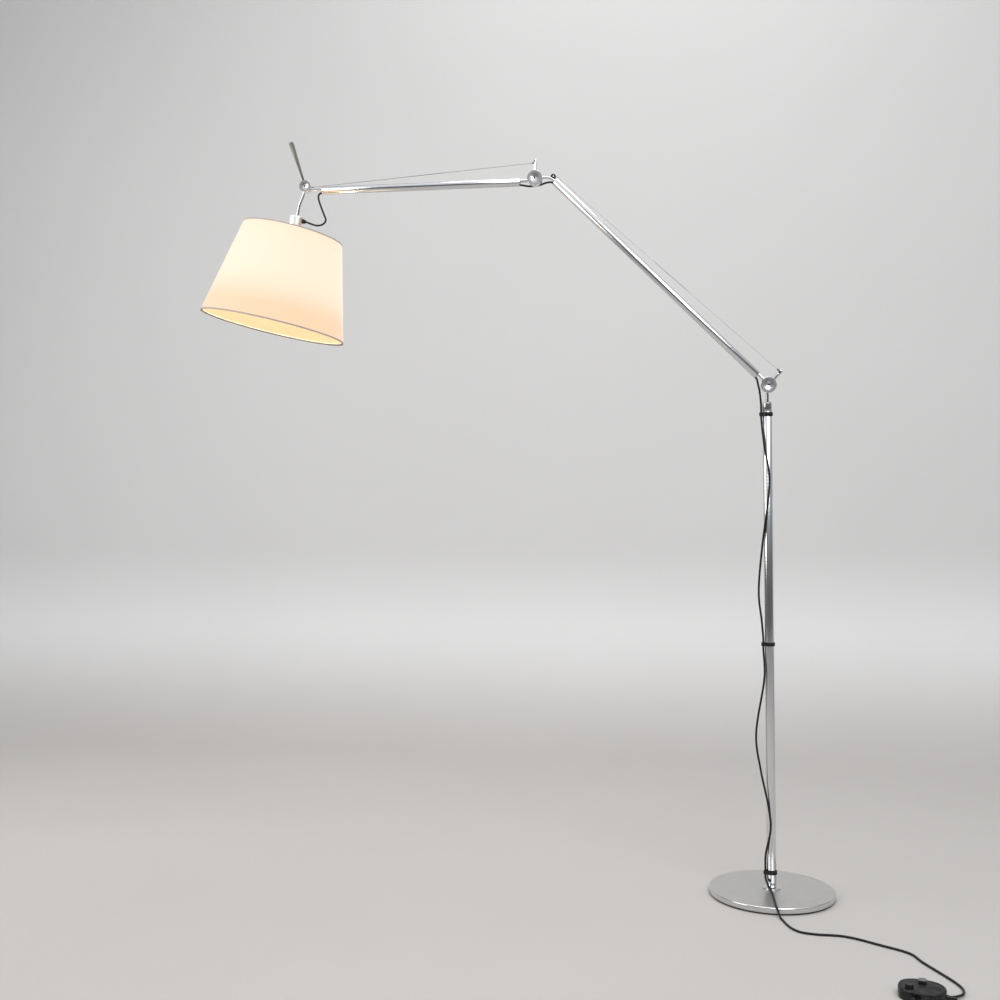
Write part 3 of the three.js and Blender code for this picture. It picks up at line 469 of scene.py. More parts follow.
# ---------------------------------------------------------------- shapes
def softened(outline: Outline, cut: float, closed: bool = True) -> Outline:
    """Rounds each corner of an outline.

    Args:
        outline: The corners in order.
        cut: How far from a corner its rounding starts.
        closed: True if the last corner joins the first.

    Returns:
        The outline with three points for each rounded corner.
    """
    made: Outline = []
    count = len(outline)
    for i, corner in enumerate(outline):
        if not closed and i in (0, count - 1):
            made.append(corner)
            continue
        here, back, on = (Vector(p) for p in (corner, outline[i - 1], outline[(i + 1) % count]))
        near = here.lerp(back, min(cut, 0.42 * (back - here).length) / max((back - here).length, 1e-6))
        far = here.lerp(on, min(cut, 0.42 * (on - here).length) / max((on - here).length, 1e-6))
        middle = near * 0.25 + here * 0.5 + far * 0.25
        made.extend([tuple(near), tuple(middle), tuple(far)])
    return made


def curve_through(points: Sequence[Vector], steps: int) -> list[Vector]:
    """Returns a centripetal curve through given points, with the same steps in each span."""
    ends = [points[0] * 2 - points[1], *points, points[-1] * 2 - points[-2]]
    made: list[Vector] = []
    for i in range(1, len(ends) - 2):
        a, b, c, d = ends[i - 1:i + 3]
        before, here, after = ((q - p).length ** 0.5 for p, q in ((a, b), (b, c), (c, d)))
        start = ((b - a) / before - (c - a) / (before + here) + (c - b) / here) * here
        end = ((c - b) / here - (d - b) / (here + after) + (d - c) / after) * here
        for k in range(steps + (i == len(ends) - 3)):
            t = k / steps
            made.append(b * (2 * t ** 3 - 3 * t ** 2 + 1) + start * (t ** 3 - 2 * t ** 2 + t)
                        + c * (3 * t ** 2 - 2 * t ** 3) + end * (t ** 3 - t ** 2))
    return made


def angles(count: int) -> list[float]:
    """Returns evenly spaced angles round a full turn."""
    return [2 * math.pi * k / count for k in range(count)]


def linked(name: str, data: bpy.types.ID) -> bpy.types.Object:
    """Makes an object from its data and links it to the scene."""
    made = bpy.data.objects.new(name, data)
    bpy.context.scene.collection.objects.link(made)
    return made


def path_length(path: Sequence[Vector]) -> float:
    """Returns the length of a line of points."""
    return sum((b - a).length for a, b in zip(path, path[1:]))


class Shape:
    """Corners and faces of a closed body, in millimetres, and a grain coordinate at each corner."""

    def __init__(self) -> None:
        """Starts with nothing."""
        self.corners: list[Vector] = []
        self.grain: list[tuple[float, float, float]] = []
        self.faces: list[tuple[int, ...]] = []
        self.marks: list[int] = []
        self.mark = 0

    def add_corner(self, corner: Vector, grain: tuple[float, float, float]) -> int:
        """Adds a corner and returns its number."""
        self.corners.append(Vector(corner))
        self.grain.append(grain)
        return len(self.corners) - 1

    def add_face(self, *numbers: int) -> None:
        """Adds a face with the mark in force."""
        self.faces.append(numbers)
        self.marks.append(self.mark)

    def turned(self, outline: Outline, place: Matrix = STAND, sides: int = 64, closed: bool | None = None,
               marks: Callable[[int], int] | None = None) -> "Shape":
        """Turns an outline of radius and height round the place's Z axis.

        Args:
            outline: Corners, from pole to pole, or round a ring's section.
            place: Where the axis stands.
            sides: Number of faces round the axis.
            closed: True for a ring's section; found from the ends if not given.
            marks: Gives the material's number for the band after each corner.

        Returns:
            This shape.
        """
        if closed is None:
            closed = outline[0][0] > 1e-6
        rows: list[list[int]] = []
        run = 0.0
        for i, (r, z) in enumerate(outline):
            if i:
                run += math.dist(outline[i - 1], (r, z))
            round_axis = [0.0] if r < 1e-6 else angles(sides)
            rows.append([self.add_corner(place @ Vector((r * math.cos(a), r * math.sin(a), z)),
                                         (r * math.cos(a), r * math.sin(a), run)) for a in round_axis])
        pairs = list(zip(rows, rows[1:])) + ([(rows[-1], rows[0])] if closed else [])
        for i, (low, high) in enumerate(pairs):
            self.mark = marks(i) if marks else self.mark
            self.join_rings(low, high)
        return self

    def join_rings(self, low: list[int], high: list[int]) -> None:
        """Joins two rings of corners, either of which may be a single point."""
        sides = max(len(low), len(high))
        if sides == 1:
            return
        for k in range(sides):
            n = (k + 1) % sides
            ring = [low[k % len(low)], low[n % len(low)], high[n % len(high)], high[k % len(high)]]
            self.add_face(*dict.fromkeys(ring))

    def swept(self, path: Sequence[Vector], radius: float | Sequence[float], sides: int = 14) -> "Shape":
        """Sweeps a round section along a path and closes both ends.

        Args:
            path: The centre line.
            radius: One radius, or one for each point.
            sides: Faces round the section.

        Returns:
            This shape.
        """
        radii = [radius] * len(path) if isinstance(radius, (int, float)) else list(radius)
        way = (path[1] - path[0]).normalized()
        side = way.orthogonal().normalized()
        rows, run = [], 0.0
        for i, point in enumerate(path):
            if i:
                run += (point - path[i - 1]).length
            ahead = (path[min(i + 1, len(path) - 1)] - path[max(i - 1, 0)]).normalized()
            side = way.rotation_difference(ahead) @ side
            way = ahead
            up = way.cross(side)
            rows.append([self.add_corner(point + radii[i] * (side * math.cos(a) + up * math.sin(a)),
                                         (radii[i] * math.cos(a), radii[i] * math.sin(a), run))
                         for a in angles(sides)])
        for low, high in zip(rows, rows[1:]):
            self.join_rings(low, high)
        self.add_face(*reversed(rows[0]))
        self.add_face(*rows[-1])
        return self

    def slab(self, layers: Sequence[tuple[Outline, float]], place: Matrix = STAND,
             marks: Callable[[int], int] | None = None) -> "Shape":
        """Stacks outlines with the same number of corners and closes the top and bottom."""
        rows = []
        for outline, height in layers:
            rows.append([self.add_corner(place @ Vector((x, y, height)), (x, y, height)) for x, y in outline])
        for i, (low, high) in enumerate(zip(rows, rows[1:])):
            self.mark = marks(i) if marks else self.mark
            self.join_rings(low, high)
        self.add_face(*reversed(rows[0]))
        self.add_face(*rows[-1])
        return self

    def piece(self, name: str, *finishes: Finish, sharp: float = 38.0) -> bpy.types.Object:
        """Makes the Blender object.

        Args:
            name: The piece's name.
            finishes: Its finishes, in the order of the faces' marks.
            sharp: Angle in degrees past which an edge stays crisp.

        Returns:
            The object, at the origin with its place in its mesh.
        """
        mesh = bpy.data.meshes.new(name)
        mesh.from_pydata([c * MM for c in self.corners], [], self.faces)
        grain = mesh.attributes.new("grain", "FLOAT_VECTOR", "POINT")
        grain.data.foreach_set("vector", [v for g in self.grain for v in g])
        for finish in finishes:
            mesh.materials.append(finish.material())
        mesh.polygons.foreach_set("material_index", self.marks)
        work = bmesh.new()
        work.from_mesh(mesh)
        bmesh.ops.recalc_face_normals(work, faces=work.faces)
        work.to_mesh(mesh)
        work.free()
        mesh.shade_smooth()
        mesh.set_sharp_from_angle(angle=math.radians(sharp))
        return linked(name, mesh)


def settle(piece: bpy.types.Object, body: str, slot: str, *nodes: str) -> bpy.types.Object:
    """Rides a piece on its body, hides the CAD nodes it stands for, and reports it."""
    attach(piece, body)
    if nodes:
        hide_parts(*nodes)
    log.info("%s rides on %s, %d faces", piece.name, body, len(piece.data.polygons))
    return piece


def dress(finish: Finish, *nodes: str) -> None:
    """Gives CAD nodes that are kept a finish of their own."""
    for name in nodes:
        node = frame["nodes"][name]
        node.data.materials.clear()
        node.data.materials.append(finish.material())
        log.info("%s keeps its shape in %s", name, finish.name)


def ring(inner: float, outer: float, low: float, high: float, cut: float = 0.6) -> Outline:
    """Returns the rounded section of a plain ring."""
    return softened([(inner, low), (outer, low), (outer, high), (inner, high)], cut)


def rod(low: float, high: float, r: float, cut: float = 0.8) -> Outline:
    """Returns the rounded outline of a plain rod."""
    return softened([(0, low), (r, low), (r, high), (0, high)], cut, closed=False)


# ---------------------------------------------------------------- repeated details (Geometry Nodes)
class Pattern:
    """A Geometry Nodes tree that makes a repeated detail, turned into a plain mesh at a place.

    Args:
        name: The tree's name.
        sizes: Named inputs with their values, in millimetres or plain numbers.
    """

    def __init__(self, name: str, sizes: dict[str, float]) -> None:
        """Makes the tree with its named inputs."""
        self.name = name
        self.sizes = sizes
        self.group = bpy.data.node_groups.new(name, "GeometryNodeTree")
        face = self.group.interface
        face.new_socket("Geometry", in_out="INPUT", socket_type="NodeSocketGeometry")
        for key in sizes:
            face.new_socket(key, in_out="INPUT", socket_type="NodeSocketFloat")
        face.new_socket("Geometry", in_out="OUTPUT", socket_type="NodeSocketGeometry")
        self.tree = Tree(self.group)
        self.entry = self.tree.node("NodeGroupInput")

    def size(self, key: str) -> Value:
        """Returns a named input."""
        return Value(self.tree, self.entry.outputs[key])

    def end(self, geometry: object, finish: Finish) -> None:
        """Closes the tree with real geometry in its finish."""
        real = self.tree.node("GeometryNodeRealizeInstances", {}, {"Geometry": geometry})
        done = self.tree.node("GeometryNodeSetMaterial", {}, {
            "Geometry": real, "Material": finish.material()})
        self.tree.node("NodeGroupOutput", {}, {0: done})

    def piece(self, name: str, place: Matrix) -> bpy.types.Object:
        """Evaluates the tree and returns its result as a plain mesh at a place in millimetres."""
        host = linked(f"{name}_host", bpy.data.meshes.new(f"{name}_host"))
        modifier = host.modifiers.new(self.name, "NODES")
        modifier.node_group = self.group
        for item in self.group.interface.items_tree:
            if item.item_type == "SOCKET" and item.in_out == "INPUT" and item.name in self.sizes:
                modifier[item.identifier] = float(self.sizes[item.name])
        bpy.context.view_layer.update()
        graph = bpy.context.evaluated_depsgraph_get()
        mesh = bpy.data.meshes.new_from_object(host.evaluated_get(graph))
        host.modifiers.remove(modifier)
        bpy.data.objects.remove(host)
        grain = mesh.attributes.new("grain", "FLOAT_VECTOR", "POINT")
        grain.data.foreach_set("vector", [v for corner in mesh.vertices for v in corner.co])
        mesh.transform(Matrix.Scale(MM, 4) @ place)
        mesh.shade_smooth()
        mesh.set_sharp_from_angle(angle=math.radians(40))
        mesh.name = name
        return linked(name, mesh)


def winding(name: str, place: Matrix, finish: Finish, sizes: dict[str, float]) -> bpy.types.Object:
    """Makes a wound wire, such as a spring or a thread.

    Args:
        name: The piece's name.
        place: Its lower end; it winds up the place's Z axis.
        finish: The wire's finish.
        sizes: Turns, Radius, Top Radius, Height, Wire.

    Returns:
        The wound piece.
    """
    pattern = Pattern(f"winding_{name}", sizes)
    tree = pattern.tree
    spiral = tree.node("GeometryNodeCurveSpiral", {}, {
        "Resolution": 20, "Rotations": pattern.size("Turns"), "Start Radius": pattern.size("Radius"),
        "End Radius": pattern.size("Top Radius"), "Height": pattern.size("Height")})
    section = tree.node("GeometryNodeCurvePrimitiveCircle", {}, {"Resolution": 6, "Radius": pattern.size("Wire")})
    wound = tree.node("GeometryNodeCurveToMesh", {}, {
        "Curve": spiral, "Profile Curve": section.outputs["Curve"], "Fill Caps": True})
    pattern.end(wound, finish)
    return pattern.piece(name, place)


def ribs_round(name: str, place: Matrix, finish: Finish, sizes: dict[str, float]) -> bpy.types.Object:
    """Makes upright rounded ribs on a circle, such as the grip of a knob.

    Args:
        name: The piece's name.
        place: Middle of the circle.
        finish: The ribs' finish.
        sizes: Count, Radius, Rib, Height.

    Returns:
        The ribs.
    """
    pattern = Pattern(f"ribs_{name}", sizes)
    tree = pattern.tree
    circle = tree.node("GeometryNodeMeshCircle", {}, {
        "Vertices": pattern.size("Count"), "Radius": pattern.size("Radius")})
    rib = tree.node("GeometryNodeMeshCylinder", {}, {
        "Vertices": 12, "Radius": pattern.size("Rib"), "Depth": pattern.size("Height")})
    placed = tree.node("GeometryNodeInstanceOnPoints", {}, {"Points": circle, "Instance": rib.outputs["Mesh"]})
    pattern.end(placed, finish)
    return pattern.piece(name, place)


def studs(name: str, place: Matrix, finish: Finish, sizes: dict[str, float]) -> bpy.types.Object:
    """Makes a field of small studs inside an oval, such as a grip pad.

    Args:
        name: The piece's name.
        place: Middle of the field.
        finish: The studs' finish.
        sizes: Length, Width, Pitch, Stud.

    Returns:
        The studs.
    """
    pattern = Pattern(f"studs_{name}", sizes)
    tree = pattern.tree
    length, width, pitch = (pattern.size(k) for k in ("Length", "Width", "Pitch"))
    grid = tree.node("GeometryNodeMeshGrid", {}, {
        "Size X": length, "Size Y": width, "Vertices X": length / pitch + 1, "Vertices Y": width / pitch + 1})
    split = tree.node("ShaderNodeSeparateXYZ", {}, {0: tree.node("GeometryNodeInputPosition")})
    across = Value(tree, split.outputs[0]) * 2 / length
    along = Value(tree, split.outputs[1]) * 2 / width
    outside = (across * across + along * along).beyond(1.0)
    kept = tree.node("GeometryNodeDeleteGeometry", {"domain": "POINT"}, {"Geometry": grid, "Selection": outside})
    stud = tree.node("GeometryNodeMeshIcoSphere", {}, {"Radius": pattern.size("Stud"), "Subdivisions": 2})
    placed = tree.node("GeometryNodeInstanceOnPoints", {}, {"Points": kept, "Instance": stud.outputs["Mesh"]})
    pattern.end(placed, finish)
    return pattern.piece(name, place)


# ---------------------------------------------------------------- camera, light, floor
@dataclass
class Studio:
    """Camera, soft lights, and the pale floor with the wall it sweeps up into."""

    eye: tuple[float, float, float] = (-0.20955, -3.10154, 0.97449)
    heading: float = 9.680
    tilt: float = 91.695
    roll: float = -0.132
    lens: float = 40.06
    wall_y: float = 2600.0
    half_width: float = 14000.0
    backdrop: float = 0.66

    def camera(self) -> None:
        """Makes the camera and gives it to the scene."""
        data = bpy.data.cameras.new("camera")
        data.lens, data.sensor_width = self.lens, 36.0
        data.clip_start, data.clip_end = 0.05, 60.0
        made = linked("camera", data)
        made.matrix_world = (Matrix.Translation(self.eye) @ turn(self.heading, "Z")
                             @ turn(self.tilt, "X") @ turn(self.roll, "Z"))
        bpy.context.scene.camera = made
        bpy.context.scene.view_settings.view_transform = "Standard"

    def floor(self) -> None:
        """Makes the floor, swept up behind into a wall with a wide round corner."""
        shape = Shape()
        corner, steps, top = 900.0, 16, 12000.0
        section = [(-9000.0, 0.0), (self.wall_y - corner, 0.0)]
        section += [(self.wall_y - corner + corner * math.sin(a), corner - corner * math.cos(a))
                    for a in (math.pi / 2 * k / steps for k in range(1, steps + 1))]
        section.append((self.wall_y, top))
        rows = [[shape.add_corner(Vector((x, y, z)), (x, y, z)) for y, z in section]
                for x in (-self.half_width, self.half_width)]
        for k in range(len(section) - 1):
            shape.add_face(rows[0][k], rows[1][k], rows[1][k + 1], rows[0][k + 1])
        made = shape.piece("studio_floor", FLOOR)

    def lights(self) -> None:
        """Makes a sky that is brighter above and behind, and three broad soft lights."""
        world = bpy.data.worlds.new("studio_sky")
        world.use_nodes = True
        sky = Tree(world.node_tree)
        back = next(n for n in sky.nodes.nodes if n.type == "BACKGROUND")
        split = sky.node("ShaderNodeSeparateXYZ", {}, {0: sky.node("ShaderNodeTexCoord").outputs["Generated"]})
        height, depth = Value(sky, split.outputs[2]), Value(sky, split.outputs[1])
        bright = height.above(0.45, 0.7) * 0.85 + depth.above(0.1, 0.9) * 0.35 + 0.13
        seen = Value(sky, sky.node("ShaderNodeLightPath").outputs["Is Camera Ray"])
        sky.feed(back.inputs["Color"], (0.955, 0.975, 1.0, 1))
        sky.feed(back.inputs["Strength"], bright * (1 - seen) + seen * self.backdrop)
        bpy.context.scene.world = world
        for name, spot, aim, size, power in (
                ("key_light", (1.0, -2.4, 3.7), (-0.3, 0.9, 0.9), 2.6, 92.0),
                ("side_light", (-3.6, -1.4, 2.6), (-0.6, 1.2, 1.0), 2.0, 50.0),
                ("back_light", (-0.4, 1.6, 5.8), (-0.5, 0.6, 0.4), 2.2, 70.0)):
            data = bpy.data.lights.new(name, "AREA")
            data.shape, data.size, data.energy = "SQUARE", size, power
            made = linked(name, data)
            made.location = spot
            made.rotation_mode = "QUATERNION"
            made.rotation_quaternion = (Vector(aim) - Vector(spot)).to_track_quat("-Z", "Y")


# ---------------------------------------------------------------- cords and cables
@dataclass
class LeadCoil:
    """The part of the supply lead that is put away in a round coil of two layers."""

    middle: tuple[float, float] = (198.0, -745.0)
    outer: float = 41.75
    inner: float = 24.25
    low: float = 2.9
    high: float = 8.05
    per_turn: int = 40

    def path(self) -> list[Vector]:
        """Returns the centre line, in at the outer edge and out at the side nearest the plug."""
        marks = [(0.0, self.outer, self.low), (3.0, self.inner, self.low), (3.35, self.inner + 1.2, 5.3),
                 (3.7, self.inner + 3.0, self.high), (5.7, 38.8, self.high), (6.25, 38.8, self.high)]
        line = []
        for (t0, r0, z0), (t1, r1, z1) in zip(marks, marks[1:]):
            steps = max(2, round((t1 - t0) * self.per_turn))
            for k in range(steps):
                t = t0 + (t1 - t0) * k / steps
                f = (t - t0) / (t1 - t0)
                r, z = r0 + (r1 - r0) * f, z0 + (z1 - z0) * f * f * (3 - 2 * f)
                a = -2 * math.pi * t
                line.append(Vector((self.middle[0] + r * math.cos(a), self.middle[1] + r * math.sin(a), z)))
        return line


@dataclass
class Cords:
    """The lamp cord, the supply lead with its coil, tie and plug, and the cables of the arms."""

    sides: int = 14
    lamp_route: list[tuple[float, float, float]] = field(default_factory=lambda: [
        (*CORD_AT_CLIP, 1303), (*CORD_AT_CLIP, 1286), (-9, -14.8, 1207), (3.4, -17.2, 1125),
        (-4.8, -16.8, 1029), (-16, -8.6, 943), (-27, -5, 808), (-19.4, -4.4, 732), (*CORD_AT_CLIP, 685),
        (*CORD_AT_CLIP, 659), (-13.8, -11, 590), (-37.6, -6, 424), (-26, -7.4, 333), (-6.5, -16.8, 234),
        (-2.2, -17.6, 180), (-15.4, -8.8, 108), (*CORD_AT_CLIP, 70), (*CORD_AT_CLIP, 53),
        (*CORD_AT_CLIP, 46), (-12.4, -13.6, 35), (-6.8, -27, 25.4), (-3, -44, ON_BASE + 0.5),
        (-0.8, -110, ON_BASE), (0.4, -159, ON_BASE + 0.1), (2, -171.5, ON_BASE - 2.6), (4.6, -180, 12),
        (7.6, -189, 5.6), (12, -203, FLOOR_Z), (31, -263, FLOOR_Z), (52, -285, FLOOR_Z),
        (84, -293, FLOOR_Z), (150, -296.5, FLOOR_Z), (229, -344, FLOOR_Z), (284, -386, FLOOR_Z),
        (301, -434, FLOOR_Z), (348, -544, FLOOR_Z), (355, -576, FLOOR_Z), (350, -604, 4.2), (336, -624, 6.4)])
    coil: LeadCoil = field(default_factory=LeadCoil)

    def build(self, dimmer_pieces: Callable[[], list[bpy.types.Object]]) -> None:
        """Makes the lamp cord and the supply lead, and logs their lengths.

        Args:
            dimmer_pieces: Makes the dimmer, which goes with the lamp cord.
        """
        route = [Vector(p) for p in self.lamp_route] + [DIMMER_PLACE @ Vector((53, 0, 8))]
        lamp = curve_through(route, 8)
        self.declare("lamp_cord_lead", lamp, "lamp_cord", dimmer_pieces())
        start = [DIMMER_PLACE @ Vector((-14, -41.6, 8)), DIMMER_PLACE @ Vector((-14, -53, 6.4)),
                 Vector((240.6, -695, 3.6)), Vector((239.9, -708, FLOOR_Z)), Vector((239.8, -722, FLOOR_Z)),
                 Vector((239.75, -740, 3.0))]
        tail = [Vector((198, -783.8, 8.05)), Vector((190, -784.4, 8.05)), Vector((182, -786.2, 7.8)),
                Vector((174.6, -786.75, 7.3)), Vector((170, -786.75, 7.2))]
        supply = curve_through(start, 8)[:-1] + self.coil.path() + curve_through(tail, 5)
        plug = self.plug()
        self.declare("supply_lead", supply, ("supply_cord", "supply_cord_coil"),
                     [plug, self.tie()])

    def declare(self, name: str, path: list[Vector], nodes: str | tuple[str, ...],
                with_pieces: list[bpy.types.Object]) -> None:
        made = Shape().swept(path, CORD_R, self.sides).piece(name, CORD, sharp=60)
        settle(made, "stand", "cord_black", *([nodes] if isinstance(nodes, str) else nodes))
        line = [tuple(p * MM) for p in path]
        path_length(path) * MM
        log.info("%s is %.3f m long", name, path_length(path) * MM)

    def tie(self) -> bpy.types.Object:
        """Makes the band that holds the coil's turns together."""
        x, y = self.coil.middle
        section = [(-9.9, -5.2), (9.9, -5.2), (9.9, 1.2), (6.4, 5.2), (-6.4, 5.2), (-9.9, 1.2)]
        line = [Vector((x - 33 + a, y + 2.0, 5.5 + b)) for a, b in softened(section, 1.6)]
        line = [Vector((p.x, p.y, min(max(p.z, 0.5), 10.6))) for p in line]
        shape = Shape()
        rows = []
        for k, point in enumerate(line):
            inward = (Vector((x - 33, point.y, 5.5)) - point).normalized() * 0.5
            rows.append([shape.add_corner(p, (p.x, p.y, p.z)) for p in (
                point + Vector((0, -2.2, 0)), point + Vector((0, 2.2, 0)),
                point + inward + Vector((0, 2.2, 0)), point + inward + Vector((0, -2.2, 0)))])
        for low, high in zip(rows, [*rows[1:], rows[0]]):
            shape.join_rings(low, high)
        return settle(shape.piece("coil_tie", BLACK), "stand", "black_plastic")

    def plug(self) -> bpy.types.Object:
        """Makes the flat two-pin plug with its ribbed strain relief."""
        place = Matrix.Translation((174, -786.75, 7.2)) @ turn(180, "Z")
        shape = Shape()
        nose = [Vector((t, 0, 0)) for t in range(0, 29, 2)]
        radii = [3.3 + 0.062 * p.x + (0.35 if int(p.x / 2) % 2 else 0) for p in nose]
        shape.swept([place @ p for p in nose], radii, 20)
        waist = [(25, 5.2), (31, 9.4), (38, 12), (60, 12.2)]
        outline = [(x, w) for x, w in waist] + [(x, -w) for x, w in reversed(waist)]
        layers = []
        for height, inset in ((-6.4, 1.8), (-5.8, 0.7), (-4.6, 0.0), (4.6, 0.0), (5.8, 0.7), (6.4, 1.8)):
            layers.append(([(x + inset * (0.5 if x < 40 else -1), y - math.copysign(inset, y))
                            for x, y in softened(outline, 3)], height))
        shape.slab(layers, place)
        shape.mark = 1
        for side in (-9.5, 9.5):
            prong = [place @ Vector((x, side * 0.98, 0)) for x in (59, 74, 78, 79.2, 80)]
            shape.swept(prong, [2, 2, 1.9, 1.5, 0.8], 16)
        made = shape.piece("mains_plug", BLACK, POLISHED)
        return settle(made, "stand", "black_plastic", "supply_plug")

    def cable(self, name: str, line: Sequence[Vector], bodies: tuple[str, str], start: Vector, end: Vector,
              *nodes: str) -> None:
        """Makes one bend of the cable, baked in place, and logs the bodies at its ends.

        Args:
            name: The piece's name.
            line: The centre line.
            bodies: The body at each end.
            start: Not used.
            end: Not used.
            nodes: The CAD nodes that it stands for.
        """
        made = Shape().swept(line, CORD_R, self.sides).piece(name, CORD, sharp=60)
        if nodes:
            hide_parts(*nodes)
        end * MM
        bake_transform(made)
        log.info("%s bends from %s to %s", name, *bodies)

    def arm_cables(self) -> None:
        """Makes the cable's stretches past the swivel, round the elbow and down to the lamp holder."""
        low, up = -9.4, -15.3
        post = [Vector(p) for p in (
            (*CORD_AT_CLIP, 1301), (*CORD_AT_CLIP, 1312), (-16.6, -4.6, 1326), (-18.4, -6.4, 1346),
            (-20.8, -8.4, 1362), (-24.4, -10.2, 1378), (-27.4, -10.6, 1391))]
        ends = [on_arm(LOWER, s, FRONT_Y, low) for s in (43, 52, 68)]
        self.cable("post_cable_foot", curve_through(post[:4], 8), ("stand", "swivel_head"), post[1], post[3],
                   "post_cable")
        self.cable("post_cable_head", curve_through([*post[3:], *ends], 8), ("swivel_head", "lower_arm"), post[3],
                   ends[0])
        bend = [Vector(p) for p in (
            (-583.8, -10.4, 1961.2), (-589.4, -8.4, 1963.6), (-597, -3.6, 1965), (-606.5, 2.4, 1965.4),
            (-616, 7, 1964), (-626, 8.4, 1961.8), (-640, 8.4, 1960.4), (-652, 7.2, 1960.2),
            (-664, 3.4, 1961.2), (-674, 0.6, 1962.6))]
        elbow = [*(on_arm(LOWER, s, FRONT_Y, low) for s in (790, 812, 823.5)), *bend,
                 *(on_arm(UPPER, s, 0, up) for s in (47, 56, 76))]
        self.cable("elbow_cable_bend", curve_through(elbow, 6), ("lower_arm", "upper_arm"), bend[1], bend[-1],
                   "elbow_cable")
        loop = [Vector(p) for p in (
            (-1270.2, -0.8, 1970.8), (-1275, -1.6, 1965.8), (-1276, -2.4, 1957.5), (-1272.8, -3.6, 1945),
            (-1265.2, -5.6, 1925), (-1256.6, -7.2, 1904), (-1251.4, -8.4, 1890), (-1254.6, -9.4, 1880.6),
            (-1264.8, -10, 1874.4), (-1279, -10.4, 1873.6), (-1295, -10.6, 1878.8))]
        gland = [HOLDER_PLACE @ Vector((x, 0, -10.6)) for x in (29, 23)]
        first = [*(on_arm(UPPER, s, 0, up) for s in (600, 612, 627.5)), *loop]
        whole = curve_through([*first, *gland], 6)
        cut = 6 * (3 + 5)
        self.cable("head_cable_drop", whole[:cut + 1], ("upper_arm", "head"), loop[0], loop[5], "head_cable")
        self.cable("head_cable_return", whole[cut:], ("head", "lamp_holder"), loop[6], gland[0])
        for name, place, y, rise, span, body in (
                ("lower_arm_cable", LOWER, FRONT_Y, low, (64, 795), "lower_arm"),
                ("upper_arm_cable", UPPER, 0.0, up, (72, 604), "upper_arm")):
            line = [on_arm(place, s, y, rise) for s in (span[0], sum(span) / 2, span[1])]
            settle(Shape().swept(line, CORD_R, self.sides).piece(name, CORD, sharp=60), body, "cord_black")


